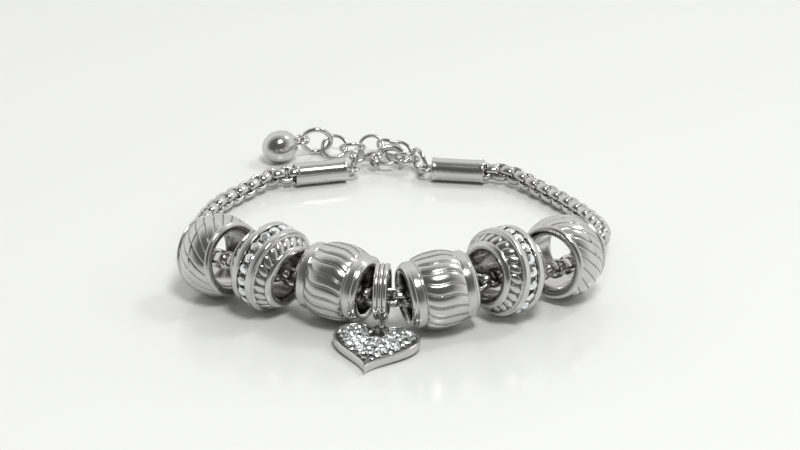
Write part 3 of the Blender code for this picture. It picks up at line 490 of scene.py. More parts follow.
crystalBead = {
    "places": {
        "crystal_bead_left": {"heading": 42.0, "lean": -7.0, "side": 1},
        "crystal_bead_right": {"heading": 41.0, "lean": 9.0, "side": -1},
    },
    "half": [
        (0.3, 5.50), (0.76, 5.50), (0.80, 5.56), (0.80, 6.04), (0.86, 6.11), (1.25, 6.12), (1.68, 6.10),
        (1.79, 6.00), (1.83, 5.62), (1.95, 5.60), (2.30, 5.34), (2.75, 4.98), (3.18, 4.62), (3.26, 4.60),
        (3.34, 4.66), (3.62, 4.44), (3.80, 4.12), (3.85, 3.75), (3.78, 3.40), (3.55, 3.20),
    ],
    "rows": 130, "columns": 420,
    "bore": 3.5, "count": 23, "near": 1.93, "far": 3.20, "relief": 0.22, "lean": 0.5,
    "petal width": 0.90, "petal reach": 1.5, "fullness": 2.2, "starts": (-0.02, 0.05), "stops": (0.96, 1.02),
    "ground": (0.80, 1.05), "ground painted shade": 0.95, "channel": (0.72, 0.80), "channel painted shade": 0.80,
    "stones": 20, "stone radius": 0.76, "stone place": 5.78, "stone tilt": 13, "seed": 5,
    "grain": 0.20, "grain place": 5.62, "grain side": 0.56, "grain step": 0.40,
}


def petalRelief(s, r, angle):
    # petal: an oval dome in each spacing of the cone beside the wall, the ground between sunk; painted shade
    # darkens that ground and the middle channel where the stones sit
    look = crystalBead
    outside = look["bore"] * mm < r
    out = np.abs(s) / mm
    u = (out - look["near"]) / (look["far"] - look["near"])
    t = np.mod(look["count"] * angle / fullTurn - np.sign(s) * look["lean"] * u, 1)
    up = np.clip(np.abs(2 * u - 1), 0, look["petal reach"])
    away = np.sqrt(((2 * t - 1) / look["petal width"]) ** 2 + up**2)
    dome = np.sqrt(np.clip(1 - away ** look["fullness"], 0, 1))
    zone = smoothStep(*look["starts"], u) * (1 - smoothStep(*look["stops"], u)) * outside
    channel = (1 - smoothStep(*look["channel"], out)) * outside
    ground = zone * smoothStep(*look["ground"], away)
    # painted shade on the sunk ground between petals and in the middle channel
    tone = 1 - look["ground painted shade"] * ground - look["channel painted shade"] * channel
    return -look["relief"] * mm * (1 - dome) * zone, tone


waveBead = {
    "places": {
        "wave_bead_left": {"heading": 29.0, "lean": -1.5, "side": 1},
        "wave_bead_right": {"heading": 18.5, "lean": -4.0, "side": -1},
    },
    "half": [
        (0.1, 5.42), (0.9, 5.40), (1.7, 5.26), (2.4, 5.05), (2.86, 4.84), (2.92, 4.70), (2.98, 4.52),
        (3.02, 4.66), (3.12, 4.70), (4.06, 4.69), (4.20, 4.62), (4.22, 4.46), (4.42, 4.44), (4.72, 4.24),
        (4.88, 3.90), (4.86, 3.56), (4.60, 3.25),
    ],
    "rows": 120, "columns": 400,
    "bore": 3.6, "count": 20, "turn": 0.45, "bend": 0.16, "end": 2.88, "stops": (0.95, 1.0),
    "lobe depth": 0.12, "lobe power": 2.6, "line height": 0.15, "line width": 0.035,
    "crease depth": 0.04, "crease place": 0.43, "crease painted shade": 0.9,
}


def waveRelief(s, r, angle):
    # wave: wide smooth lobes, each ending in a fine raised line with a crease beside it in painted shade;
    # the lines lean across the barrel, less in the middle than near the collars
    look = waveBead
    part = s / (look["end"] * mm)
    turn = look["turn"] * part - look["bend"] * np.sin(np.pi * np.clip(part, -1, 1))
    t = np.abs(np.mod(look["count"] * angle / fullTurn - turn, 1) - 0.5)
    line = np.exp(-(((t - 0.5) / look["line width"]) ** 2))
    crease = np.exp(-(((t - look["crease place"]) / look["line width"]) ** 2))
    zone = (1 - smoothStep(*look["stops"], np.abs(part))) * (r > look["bore"] * mm)
    sunk = look["lobe depth"] * (2 * t) ** look["lobe power"] + look["crease depth"] * crease
    # painted shade darkens the crease beside each line
    return (line * look["line height"] - sunk) * mm * zone, 1 - look["crease painted shade"] * zone * crease


boreSpacing = 0.22   # share of the rows' number that the smooth bore gets, for its length


def makeBeads(settings, relief):
    loop = roundedLoop(mirroredLoop(settings["half"]))
    bore = settings["bore"] * mm
    profile = evenly(loop, settings["rows"], lambda p: np.where(p[:, 1] < bore, boreSpacing, 1.0))
    for node, spec in settings["places"].items():
        shell = latheShell(profile, beadFrame(node, spec), settings["columns"], relief)
        makePiece(node + "_carved", [shell], steel, (node,))


makeBeads(leafBead, leafRelief)
makeBeads(crystalBead, petalRelief)
makeBeads(waveBead, waveRelief)
print("beads carved")


# Cut stones: each ring of points has two shares of the radius in turn, and a height

stoneCut = {
    "sides": 8, "culet": -0.62,
    "rings": [
        (0.56, 0.56 * math.cos(math.pi / 8), 0.40), (0.74, 0.82, 0.23),
        (1.0, 1.0, 0.04), (1.0, 1.0, -0.04), (0.52, 0.46, -0.32),
    ],
}


def stoneShell(radius):
    # brilliant: a flat table, a row of star facets, the girdle and a pointed back
    a = evenAngles(2 * stoneCut["sides"])
    even = np.arange(len(a)) % 2 == 0
    grid = []
    for first, second, height in stoneCut["rings"]:
        share = np.where(even, first, second)
        grid.append(np.stack((share * np.cos(a), share * np.sin(a), np.full(len(a), height)), axis=-1))
    points, quads, triangles, tones = gridShell(np.array(grid) * radius)
    points = points.copy()
    points[-1, 2] = stoneCut["culet"] * radius   # the last middle point becomes the culet
    return points, quads, triangles, tones


grainCut = {"around": 10, "rows": 6, "first": 0.12}


def grainShell(radius):
    # a small ball of metal that holds a stone
    first = grainCut["first"]
    b = np.linspace(first, math.pi - first, grainCut["rows"])[:, None]
    a = evenAngles(grainCut["around"])[None]
    grid = np.stack((np.sin(b) * np.cos(a), np.sin(b) * np.sin(a), np.cos(b) + 0 * a), axis=-1)
    return gridShell(grid * radius)


def rays(angles, axes):
    # the directions at these angles round the frame's X axis, from its Z towards its -Y
    return np.stack((0 * angles, -np.sin(angles), np.cos(angles)), axis=1) @ axes.T


def crystalStones():
    look = crystalBead
    count = look["stones"]
    turn = np.arange(count) * fullTurn / count
    for node, spec in look["places"].items():
        origin, axes = beadFrame(node, spec)
        out = rays(turn, axes)
        along = np.tile(axes[:, 0], (count, 1))
        sets = np.stack((along, np.cross(out, along), out), axis=2)
        sets = shuffled(sets, look["stone tilt"], look["seed"])
        spot = origin + out * look["stone place"] * mm
        stones = scattered(stoneShell(look["stone radius"] * mm), spot, sets)
        makePiece(node + "_stones", [stones], stone, flat=True)
        # four grains stand round each stone
        shells = []
        for side in (-1, 1):
            for step in (-1, 1):
                ray = rays(turn + step * look["grain step"] * fullTurn / count, axes)
                spot = origin + ray * look["grain place"] * mm + axes[:, 0] * side * look["grain side"] * mm
                shells.append(scattered(grainShell(look["grain"] * mm), spot, repeated(np.eye(3), count)))
        makePiece(node + "_grains", shells, plainSteel)


crystalStones()
print("bead stones set")


# Hanger with its loop; the inside is given in shares of the half width

hanger = {
    "heading": -6.0, "radius": 3.90, "width": 1.90, "columns": 200,
    "loop radius": 1.15, "loop wire": 0.32, "loop forward": 1.10,
    "rib place": 0.66, "rib width": 0.33, "rib height": 0.26, "rib points": 13,
    "groove": (0.12, 0.26), "groove radius": 3.5, "groove painted shade": 0.8,
    "inside": [(1.0, 3.45), (1.0, 3.25), (0.8, 3.05), (-0.8, 3.05), (-1.0, 3.25), (-1.0, 3.45)],
}


def hangerFrame():
    # the ring reaches the top of the node's box and its loop the bottom
    low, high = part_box("hanger")
    axis = level(hanger["heading"])
    middle = ((low.x + high.x) / 2, (low.y + high.y) / 2, high.z - hanger["radius"] * mm)
    return frameFrom(middle, axis, leftOf(axis))


def makeHanger():
    # three ribs of half circles side by side, carried round the ring
    where = hangerFrame()
    half = hanger["width"] / 2
    x = np.linspace(-1, 1, hanger["rib points"])
    radius = hanger["radius"] - hanger["rib height"] * (1 - np.sqrt(1 - x**2))
    ribs = [np.column_stack(((k * hanger["rib place"] + hanger["rib width"] * x) * half, radius))
            for k in (-1, 0, 1)]
    inside = np.array(hanger["inside"]) * (half, 1)
    profile = roundedLoop(np.concatenate((*ribs, inside)), 1)
    # painted shade in the grooves between the ribs, on the outside only
    groove = smoothStep(*hanger["groove"], hanger["radius"] - profile[:, 1])
    tone = 1 - hanger["groove painted shade"] * groove * (profile[:, 1] > hanger["groove radius"])
    shell = latheShell(profile * mm, where, hanger["columns"],
                       lambda s, r, a: (0 * s + 0 * a, tone[:, None] + 0 * a))
    loopPlace = where[0] - np.array((0, hanger["loop forward"] * mm, 0))
    loopPlace[2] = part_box("hanger")[0].z + (hanger["loop radius"] + hanger["loop wire"]) * mm
    loopWhere = frameFrom(loopPlace, leftOf(level(hanger["heading"])), (0, 0, 1))
    eye = ringShell(loopWhere, hanger["loop radius"] * mm, hanger["loop wire"] * mm)
    makePiece("hanger_ribbed", [shell, eye], steel, ("hanger",))


makeHanger()


# Heart pendant: rim, recessed face, a field of stones and an eye

heart = {
    "width": 11.90, "length": 10.90, "span": 28.97, "thickness": 1.25, "rim": 0.42, "recess": 0.22,
    "heading": -12.0, "lean": 4.0, "points": 240, "fine points": 1440,
    "dome": 0.55, "dome reach": 4.0, "face painted shade": 0.85,
    "eye half width": 1.00, "eye half length": 1.70, "eye wire": 0.30,
    "spacing": 1.08, "first row": 1.53, "rows": 16, "columns": 12,
    "stone": 0.54, "stone room": 0.90, "stone lift": 0.12, "stone tilt": 13, "stone seed": 11,
    "small stone": 0.36, "small room": 0.69, "small lift": 0.08, "small tilt": 9, "small seed": 13,
    "grain": 0.13, "grain room": 0.12, "grain lift": 0.10,
}


def heartHeight(t):
    # the classic heart curve's height over its tip: a sum of four cosines
    raw = 13 * np.cos(t) - 5 * np.cos(2 * t) - 2 * np.cos(3 * t) - np.cos(4 * t) + 17
    return raw * heart["length"] / heart["span"]


def heartLine():
    # its width is the cube of a sine; the points are spaced evenly
    t = evenAngles(heart["fine points"])
    x = heart["width"] / 2 * np.sin(t) ** 3
    return evenly(np.stack((x, heartHeight(t)), axis=1), heart["points"]) * mm


def heartFrame(line):
    # the tip's place is where the outline, turned, fits the node's box
    axes = leaningFrame((0, 0, 0), heart["heading"], heart["lean"])[1]
    turned = np.column_stack((line, 0 * line[:, 0])) @ axes.T
    low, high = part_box("heart_pendant")
    middle = (low.x + high.x - turned[:, 0].min() - turned[:, 0].max()) / 2
    return np.array((middle, low.y - turned[:, 1].min(), low.z)), axes


def domed(inset):
    # the face swells from the rim as a quarter of a sine
    part = np.clip((inset - heart["rim"]) / heart["dome reach"], 0, 1)
    return heart["dome"] * np.sin(np.pi / 2 * part)


def heartRows():
    # inset from the outline and height over the back: the back and the rim, then the face
    t, rim, floor = heart["thickness"], heart["rim"], heart["thickness"] - heart["recess"]
    rimRows = [
        (5.2, 0.0), (3.0, 0.0), (0.45, 0.0), (0.30, 0.0), (0.16, 0.03), (0.05, 0.12), (0.0, 0.26),
        (0.0, t - 0.26), (0.05, t - 0.12), (0.14, t - 0.03), (0.22, t),
        (rim - 0.08, t), (rim - 0.02, t - 0.05), (rim, floor + 0.02),
    ]
    faceRows = [(inset, floor) for inset in (rim + 0.06, 0.8, 1.2, 1.8, 2.6, 3.4, 4.2, 4.8, 5.2)]
    return rimRows, faceRows


def makeHeartBody(line, where):
    middle = np.array((0, heart["length"] / 2)) * mm
    size = np.array((heart["width"], heart["length"])) / 2
    rimRows, faceRows = heartRows()
    grid = []
    for row, (inset, height) in enumerate(rimRows + faceRows):
        xy = middle + (line - middle) * (1 - inset / size)
        lift = domed(nearest(xy, line) / mm) if row >= len(rimRows) else 0 * xy[:, 0]
        grid.append(np.column_stack((xy, (height + lift) * mm)))
    # the recessed face under the stones is painted dark as shade; the rim keeps the full colour
    tone = np.array([1.0] * len(rimRows) + [1 - heart["face painted shade"]] * len(faceRows))[:, None]
    body = gridShell(placed(np.array(grid), where), tone=tone)
    eyeY = heartHeight(0) + heart["eye half length"] - heart["eye wire"]
    eyeAt = placed(np.array((0, eyeY, heart["thickness"] / 2)) * mm, where)
    stretch = heart["eye half length"] / heart["eye half width"]
    eye = ringShell((eyeAt, where[1]), heart["eye half width"] * mm, heart["eye wire"] * mm, stretch)
    makePiece("heart_body", [body, eye], steel, ("heart_pendant",))


def makeHeartStones(line, where):
    # rows of stones, every other row shifted by half a spacing, with smaller stones along the rim
    edge = line / mm
    floor = heart["thickness"] - heart["recess"]

    def onFace(spots, lift):
        height = floor + lift + domed(nearest(spots, edge))
        return placed(np.column_stack((spots, height)) * mm, where)

    def stonesAt(spots, kind, radius):
        turns = shuffled(repeated(where[1], len(spots)), heart[kind + " tilt"], heart[kind + " seed"])
        return scattered(stoneShell(radius * mm), onFace(spots, heart[kind + " lift"]), turns)

    columns = np.arange(-heart["columns"], heart["columns"] + 1)
    row, column = np.meshgrid(np.arange(heart["rows"]), columns, indexing="ij")
    x = (column + (row % 2) / 2) * heart["spacing"]
    y = heart["first row"] + row * heart["spacing"] * math.sqrt(3) / 2
    spots = np.stack((x.ravel(), y.ravel()), axis=1)
    away = nearest(spots, edge)
    inside = insideLine(spots, edge)
    wide = inside & (away > heart["stone room"])
    small = spots[inside & ~wide & (away > heart["small room"])]
    spots = spots[wide][np.argsort(away[wide])]
    stones = [stonesAt(spots, "stone", heart["stone"]), stonesAt(small, "small", heart["small stone"])]
    makePiece("heart_stones", stones, stone, flat=True)
    # grains in the gaps between three stones
    a = np.radians(30 + 60 * np.arange(6))
    ray = np.stack((np.cos(a), np.sin(a)), axis=1) * heart["spacing"] / math.sqrt(3)
    gaps = (spots[:, None] + ray[None]).reshape(-1, 2)
    gaps = gaps[np.unique(np.round(gaps, 2), axis=0, return_index=True)[1]]
    gaps = gaps[nearest(gaps, edge) > heart["rim"] + heart["grain room"]]
    balls = scattered(grainShell(heart["grain"] * mm), onFace(gaps, heart["grain lift"]),
                      repeated(np.eye(3), len(gaps)))
    makePiece("heart_grains", [balls], plainSteel)


def makeHeart():
    line = heartLine()
    where = heartFrame(line)
    makeHeartBody(line, where)
    makeHeartStones(line, where)


makeHeart()
print("heart set")


# End caps

capLook = {
    "radius": 1.80, "tube": 1.72, "length": 7.95, "socket": 1.51, "depth": 3.0, "eye": 0.95, "wire": 0.30,
    "eye sink": 0.2, "points": 90, "columns": 96,
    "places": {"end_cap_left": 13.2, "end_cap_right": 172.8},
}


def capPlaces(node):
    # the cap's axis from mouth to eye, the eye's middle and the middle of the mouth, from its node's box
    axis = level(capLook["places"][node])
    low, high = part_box(node)
    reach = (capLook["eye"] + capLook["wire"]) * mm
    eyeX = high.x - reach if axis[0] > 0 else low.x + reach
    middle = nodeMiddle(node)
    eyePlace = middle + axis * (eyeX - middle[0]) / axis[0]
    eyePlace[2] = low.z + capLook["radius"] * mm
    length = capLook["length"] + capLook["eye"] - capLook["wire"] * capLook["eye sink"]
    return axis, eyePlace, eyePlace - axis * length * mm


def makeCaps():
    # from the bottom of the socket out over the rolled rim, and along the tube to the eye's end
    rim, tube, end = capLook["radius"], capLook["tube"], capLook["length"]
    socket, depth = capLook["socket"], capLook["depth"]
    rows = [
        (depth, 0.4), (depth, 1.3), (depth - 0.1, socket), (0.12, socket), (0.02, 1.56), (0.0, 1.66),
        (0.05, 1.76), (0.16, rim), (0.42, rim), (0.52, 1.75), (0.58, tube),
        (end - 0.60, tube), (end - 0.54, 1.75), (end - 0.42, rim), (end - 0.14, rim),
        (end - 0.03, 1.72), (end, 1.58), (end, 0.6),
    ]
    # the rounding also joins the last row to the first, and those two points are left out
    line = roundedLoop(np.array(rows) * mm, 1)[:-2]
    profile = evenly(line, capLook["points"], closed=False)
    for node in capLook["places"]:
        axis, eyePlace, mouth = capPlaces(node)
        side = leftOf(axis)
        body = latheShell(profile, frameFrom(mouth, axis, side), capLook["columns"], wrapRows=False)
        eye = ringShell(frameFrom(eyePlace, axis, side), capLook["eye"] * mm, capLook["wire"] * mm)
        makePiece(node + "_turned", [body, eye], plainSteel, (node,))


# Rings and links: heading, lean, radius and wire, each at the middle of its own node's box

ringLook = {
    "jump_ring_left": (81.3, 98.6, 1.85, 0.34), "jump_ring_right": (118.9, 84.9, 1.85, 0.34),
    "extender_link_1": (-11.1, 137.1, 1.85, 0.275), "extender_link_2": (-0.4, 36.0, 1.85, 0.275),
    "extender_link_3": (-22.9, -61.0, 1.85, 0.275), "extender_link_4": (-2.6, 49.6, 1.85, 0.275),
    "extender_link_5": (3.2, -42.2, 1.85, 0.275), "extender_link_6": (-0.3, 40.2, 1.85, 0.275),
    "extender_ring": (3.0, -74.0, 2.20, 0.38),
}


def makeRings():
    for node, (heading, lean, radius, wire) in ringLook.items():
        shell = ringShell(leaningFrame(nodeMiddle(node), heading, lean), radius * mm, wire * mm)
        makePiece(node + "_wire", [shell], plainSteel, (node,))


makeCaps()
makeRings()
print("caps and rings made")


# Drop, at the end of the extender

dropLook = {
    "radius": 2.45, "half length": 2.85, "bearing": 209.0, "fit": 0.997, "ball angles": (4, 166),
    "ball points": 44, "columns": 88, "eye": 0.94, "wire": 0.28, "eye share": 0.6, "neck": 0.45,
    "neck length": 0.40,
}


def makeDrop():
    # the eye hangs where the end ring reaches furthest towards the drop, and the drop lies on the floor
    heading, lean, ringRadius, _ = ringLook["extender_ring"]
    ringPlace, ringAxes = leaningFrame(nodeMiddle("extender_ring"), heading, lean)
    normal = ringAxes[:, 2]
    bearing = level(dropLook["bearing"])
    eyePlace = ringPlace + unit(bearing - normal * (bearing @ normal)) * ringRadius * mm
    half, neck = dropLook["half length"], dropLook["neck"]
    length = half + dropLook["neck length"] + dropLook["eye"] * dropLook["eye share"]
    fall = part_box("drop_charm")[0].z / mm + dropLook["radius"] - eyePlace[2] / mm
    middle = eyePlace + (bearing * math.sqrt(length**2 - fall**2) + np.array((0, 0, fall))) * mm
    axis = unit(eyePlace - middle)
    a = np.radians(np.linspace(*dropLook["ball angles"], dropLook["ball points"]))
    ball = np.stack((-half * np.cos(a), dropLook["radius"] * np.sin(a)), axis=1) * dropLook["fit"]
    stem = np.array([(half + 0.02, neck + 0.06), (half + 0.2, neck), (length - dropLook["eye"] + 0.1, neck)])
    profile = np.concatenate((ball, stem)) * mm
    where = frameFrom(middle, axis, np.cross(axis, normal))
    body = latheShell(profile, where, dropLook["columns"], wrapRows=False)
    eye = ringShell(frameFrom(eyePlace, axis, normal), dropLook["eye"] * mm, dropLook["wire"] * mm)
    makePiece("drop_turned", [body, eye], plainSteel, ("drop_charm",))


# Clasp: body with its claw and fork, pin and lever; profiles round the hinge are (place, radius)

claspLook = {
    "heading": -2.1, "lean": 30.7, "length": 7.50, "depth": 0.72, "bar": 0.52, "tail": 1.05,
    "tail wire": 0.30, "pivot": (2.75, -0.7525), "claw": (1.95, 1.60),
    "claw angles": (196, -47), "claw points": 26, "claw narrowing": 0.25, "claw thinning": 0.30,
    "sides": 28, "squareness": 2.3,
    "stem": [(0.98, 0), (1.25, 0), (1.7, 0.0), (2.15, 0.08), (2.75, 0.14), (3.1, 0.18)],
    "stem width": (0.36, 0.44, 0.56, 0.72, 0.80, 0.70),
    "stem depth": (0.30, 0.46, 0.64, 0.71, 0.71, 0.66),
    "cheek place": 0.41, "cheek columns": 48,
    "cheek": [(0.02, 0.32), (0.02, 0.78), (0.05, 0.86), (0.14, 0.89), (0.24, 0.86), (0.32, 0.76),
              (0.35, 0.62), (0.35, 0.32)],
    "pin": [(-0.765, 0.12), (-0.755, 0.20), (-0.72, 0.235), (0.72, 0.235), (0.755, 0.20), (0.765, 0.12)],
    "pin columns": 32,
}


def claspFrame():
    # the tail's middle, found back from the pin
    axes = leaningFrame((0, 0, 0), claspLook["heading"], claspLook["lean"])[1]
    pivot = np.array((*claspLook["pivot"], 0)) * mm
    return nodeMiddle("clasp_pin") - axes @ pivot, axes


def clawPoint(angle):
    # a place on the claw's ellipse, which ends a bar's half width before the clasp's length
    halfLong, halfWide = claspLook["claw"]
    middle = claspLook["length"] - halfLong - claspLook["bar"]
    return np.stack((middle + halfLong * np.cos(angle), halfWide * np.sin(angle)), axis=-1)


def makeClasp():
    look, where = claspLook, claspFrame()
    hinge = hingeFrame((nodeMiddle("clasp_pin"), where[1]))
    arc = clawPoint(np.radians(np.linspace(*look["claw angles"], look["claw points"])))
    part = np.linspace(0, 1, len(arc))
    width = look["bar"] * (1 - look["claw narrowing"] * part)
    depth = look["depth"] * (1 - look["claw thinning"] * part)
    claw = barShell(where, arc * mm, width * mm, depth * mm, look["sides"], look["squareness"], 4)
    stem, stemWidth, stemDepth = (np.array(look[key]) * mm for key in ("stem", "stem width", "stem depth"))
    neck = barShell(where, stem, stemWidth, stemDepth, look["sides"], look["squareness"])
    tail = ringShell(where, look["tail"] * mm, look["tail wire"] * mm)
    # the fork's cheeks: two round plates with rounded edges on the hinge's axis
    cheeks = []
    for side in (-1, 1):
        profile = (np.array(look["cheek"]) + (look["cheek place"], 0)) * (side, 1)
        cheeks.append(latheShell(profile * mm, hinge, look["cheek columns"]))
    makePiece("clasp_body_cast", [claw, neck, tail] + cheeks, plainSteel, ("clasp_body",))
    # the pin: a cylinder with slightly domed ends
    pin = latheShell(np.array(look["pin"]) * mm, hinge, look["pin columns"], wrapRows=False)
    makePiece("clasp_pin_round", [pin], plainSteel, ("clasp_pin",))


leverLook = {
    "tip angle": -48, "gap": 0.62, "arm shares": (0.17, 0.955), "arm points": 9, "bow": 0.43,
    "arm width": (0.36, 0.255), "depth": 0.30, "squareness": 3.0,
    "thumb": [(-0.14, -0.42), (0.0, -0.62), (0.08, -0.84), (0.09, -1.02)],
    "thumb width": (0.33, 0.26, 0.24, 0.235),
    "eye": [(-0.22, 0.345), (-0.22, 0.50), (-0.19, 0.56), (-0.12, 0.575), (0.12, 0.575), (0.19, 0.56),
            (0.22, 0.50), (0.22, 0.345), (0, 0.342)],
    "eye stretch": 0.30 / 0.22, "eye columns": 48,
}


def makeLever():
    # an arm that bows outwards to the claw's tip, a thumb piece and a washer round the pin
    look, where = leverLook, claspFrame()
    start = np.array(claspLook["pivot"])
    reach = clawPoint(math.radians(look["tip angle"])) - start
    along = unit(reach)
    across = np.array((-along[1], along[0]))
    share = np.linspace(*look["arm shares"], look["arm points"])[:, None]
    arm = start + along * (np.linalg.norm(reach) - look["gap"]) * share
    arm = arm - across * look["bow"] * np.sin(np.pi * share)
    shells = []
    for path, width in ((arm, np.linspace(*look["arm width"], len(arm))),
                        (start + np.array(look["thumb"]), np.array(look["thumb width"]))):
        depth = np.full(len(path), look["depth"])
        shells.append(barShell(where, path * mm, width * mm, depth * mm, power=look["squareness"]))
    hinge = hingeFrame((nodeMiddle("clasp_pin"), where[1]))
    profile = np.array(look["eye"]) * (look["eye stretch"], 1)
    shells.append(latheShell(profile * mm, hinge, look["eye columns"]))
    makePiece("clasp_lever_cast", shells, plainSteel, ("clasp_lever",), "lever")


makeDrop()
makeClasp()
makeLever()
print("drop and clasp made")


# Chain: rounded box chain, pierced links at right angles to each other along the chain's way;
# shares: where the chain passes each bead's middle, across and up, of the play given last

chainLook = {
    "pitch": 1.25, "half length": 0.93, "half width": 1.06, "wall": 0.27, "half height": 0.70,
    "link points": 16, "squareness": 3.2,
    "section": [(1.0, -0.55), (1.0, 0.55), (0.25, 1.0), (-1.0, 0.72), (-1.0, -0.72), (0.25, -1.0)],
    "roll": 45, "twist": 14, "twists": 9.0,
    "inside caps": 2.6, "outside caps": 2.83, "steps": 40,
    "route left": [(-22.9, 8.6, 1.5), (-26.7, 3.4, 1.5), (-28.7, -2.4, 1.5), (-29.0, -8.6, 2.2),
                   (-28.0, -15.2, 3.5)],
    "route right": [(27.0, -15.0, 3.9), (28.9, -8.4, 2.8), (28.0, -2.6, 1.8), (25.0, 3.4, 1.5),
                    (20.6, 9.2, 1.5)],
    "shares": {
        "leaf_bead_left": (0.32, -0.39, 2.28), "crystal_bead_left": (-0.03, -0.33, 1.78),
        "wave_bead_left": (-0.16, -0.56, 1.83), "hanger": (0.01, -0.56, 1.63),
        "wave_bead_right": (0.11, -0.39, 1.83), "crystal_bead_right": (0.23, -0.27, 1.78),
        "leaf_bead_right": (0.08, -0.65, 2.28),
    },
}


def capStops(node):
    # three stops along the cap's axis: inside it, at its mouth and outside
    axis, eyePlace, mouth = capPlaces(node)
    mouth = mouth / mm
    return [mouth + axis * chainLook["inside caps"], mouth, mouth - axis * chainLook["outside caps"]]


def beadStop(node):
    across, up, play = chainLook["shares"][node]
    places = {**leafBead["places"], **crystalBead["places"], **waveBead["places"]}
    origin, axes = beadFrame(node, places[node]) if node in places else hangerFrame()
    return origin / mm + axes @ np.array((0, across, up)) * play


def chainLine():
    # stops: out of one cap, round the back, through every bead, and back into the other cap
    shift = layoutShift() / mm
    routeLeft, routeRight = (np.array(chainLook[key]) + shift for key in ("route left", "route right"))
    line = np.array([
        *capStops("end_cap_left"), *routeLeft, *(beadStop(node) for node in chainLook["shares"]),
        *routeRight, *reversed(capStops("end_cap_right")),
    ])
    # slopes: the directions to both neighbours, weighed towards the nearer one
    step = np.diff(line, axis=0)
    length = np.linalg.norm(step, axis=1, keepdims=True)
    way = step / length
    slope = np.concatenate((way[:1], way[:-1] * length[1:] + way[1:] * length[:-1], way[-1:]))
    slope = unitRows(slope)
    return hermite(line, slope[:-1] * length, slope[1:] * length, chainLook["steps"]) * mm


def linkShell():
    # a link: a squared ellipse in its XY plane, its section a low arch across the band
    angle = evenAngles(chainLook["link points"])[:, None] + math.pi / chainLook["link points"]
    cx, cy = squaredCircle(angle, chainLook["squareness"])
    section = np.array(chainLook["section"])[None]
    wall = section[..., 0] * chainLook["wall"]
    x = cx * (chainLook["half length"] + wall)
    y = cy * (chainLook["half width"] + wall)
    z = section[..., 1] * chainLook["half height"] + 0 * x
    return gridShell(np.stack((x, y, z), axis=-1) * mm, wrapRows=True)


def makeChain():
    fine = chainLine()
    total = np.linalg.norm(np.diff(fine, axis=0), axis=1).sum()
    count = int(round(total / mm / chainLook["pitch"]))
    places = evenly(fine, count, closed=False)
    along = unitRows(np.gradient(places, axis=0))
    side = unitRows(np.cross((0, 0, 1), along))
    up = np.cross(along, side)
    # every other link is turned by a quarter, and the whole chain twists a little on its way
    part = np.linspace(0, 1, count)
    roll = np.radians(chainLook["roll"] + chainLook["twist"] * np.sin(part * chainLook["twists"]))
    roll = roll + (np.arange(count) % 2) * np.pi / 2
    turned = side * np.cos(roll)[:, None] + up * np.sin(roll)[:, None]
    axes = np.stack((along, turned, np.cross(along, turned)), axis=2)
    links = scattered(linkShell(), places, axes)
    makePiece("chain_links", [links], chainSteel, ("chain",))


chainSteel = polishedSteel("chain steel", dict(steelLook, roughness=0.16), darkened=False)
makeChain()
print("chain made")


# Floor, light and camera; room: gray of the sky by how far it faces the dark side, from 0 to 1

stageLook = {
    "floor": (0.86, 0.868, 0.855, 1), "floor roughness": 0.14, "floor half": 3.0,
    "cloud scale": 0.02, "cloud share": 0.995, "cloud roughness": 0.04,
    "exposure": 0.31, "dark rise": 38.0, "dark side": -0.15, "tint": (1, 1.005, 0.99),
    "room": [(0.0, 0.62), (0.55, 0.80), (0.74, 0.42), (0.86, 0.13), (1.0, 0.10)],
    "lamps": {
        "key": {"place": (0.10, -0.26, 0.60), "size": 0.20, "power": 1.7},
        "side": {"place": (0.34, 0.20, 0.52), "size": 0.12, "power": 0.5},
    },
    "distance": 430.0, "elevation": 26.5, "lens": 132.35, "sensor": 36, "clip": 0.01,
}


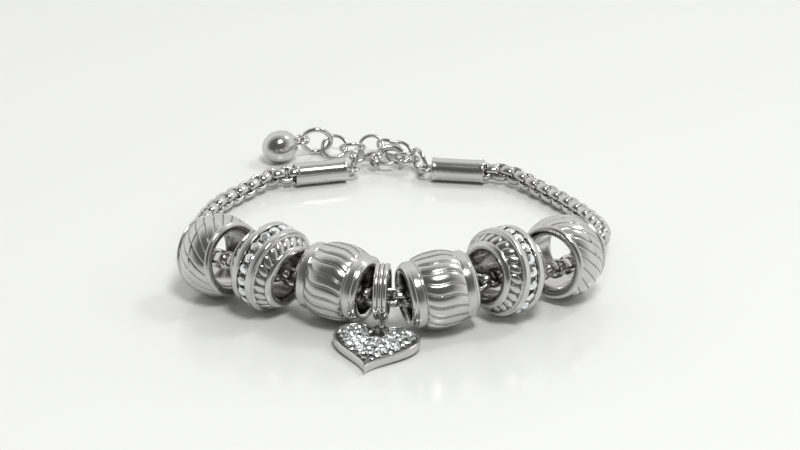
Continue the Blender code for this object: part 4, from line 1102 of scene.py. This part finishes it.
def makeFloor():
    finish = Finish("floor", Metallic=0.0, Coat_Weight=0.0)
    clouds = noise(finish, stageLook["cloud scale"])
    cloudy = scaled(stageLook["floor"], stageLook["cloud share"])
    finish.set(Base_Color=finish.mix(clouds, stageLook["floor"], cloudy),
               Roughness=stageLook["floor roughness"] + clouds * stageLook["cloud roughness"])
    half = stageLook["floor half"]
    mesh = bpy.data.meshes.new("floor")
    corners = [(-half, -half, 0), (half, -half, 0), (half, half, 0), (-half, half, 0)]
    mesh.from_pydata(corners, [], [(0, 1, 2, 3)])
    mesh.materials.append(finish.material)
    card = bpy.data.objects.new("floor", mesh)
    bpy.context.scene.collection.objects.link(card)


def makeRoom():
    # the room, by direction: pale all round, dark about the camera's side up to overhead
    world = bpy.data.worlds.new("room")
    world.use_nodes = True
    room = Nodes(world.node_tree)
    rise = math.radians(stageLook["dark rise"])
    place = room.node("ShaderNodeTexCoord").outputs["Generated"]
    dark = (stageLook["dark side"], -math.cos(rise), math.sin(rise))
    toward = room.node("ShaderNodeVectorMath", {"operation": "DOT_PRODUCT"}, {0: place, 1: dark})
    share = Value(room, toward.outputs["Value"]) * 0.5 + 0.5
    stops = [(spot, (*(gray * k for k in stageLook["tint"]), 1)) for spot, gray in stageLook["room"]]
    ramp = room.node("ShaderNodeValToRGB", {"stops": stops}, {0: share})
    room.connect(ramp.outputs[0], room.tree.nodes["Background"].inputs["Color"])
    bpy.context.scene.world = world


def makeLights():
    for name, lamp in stageLook["lamps"].items():
        data = bpy.data.lights.new(name, "AREA")
        data.shape = "DISK"
        data.size = lamp["size"]
        data.energy = lamp["power"]
        light = bpy.data.objects.new(name, data)
        light.location = lamp["place"]
        light.rotation_euler = Vector(lamp["place"]).to_track_quat("Z", "Y").to_euler()
        bpy.context.scene.collection.objects.link(light)


def makeCamera():
    # level with the layout's middle, from the front and above
    tilt = math.radians(stageLook["elevation"])
    away = stageLook["distance"] * mm
    data = bpy.data.cameras.new("camera")
    data.sensor_width = stageLook["sensor"]
    data.lens = stageLook["lens"]
    data.clip_start = stageLook["clip"]
    camera = bpy.data.objects.new("camera", data)
    camera.location = Vector(layoutShift()) + Vector((0, -away * math.cos(tilt), away * math.sin(tilt)))
    camera.rotation_euler = (math.pi / 2 - tilt, 0, 0)
    bpy.context.scene.collection.objects.link(camera)
    bpy.context.scene.camera = camera
    bpy.context.scene.view_settings.view_transform = "Standard"
    bpy.context.scene.view_settings.exposure = stageLook["exposure"]


makeFloor()
makeRoom()
makeLights()
makeCamera()
print("stage set")
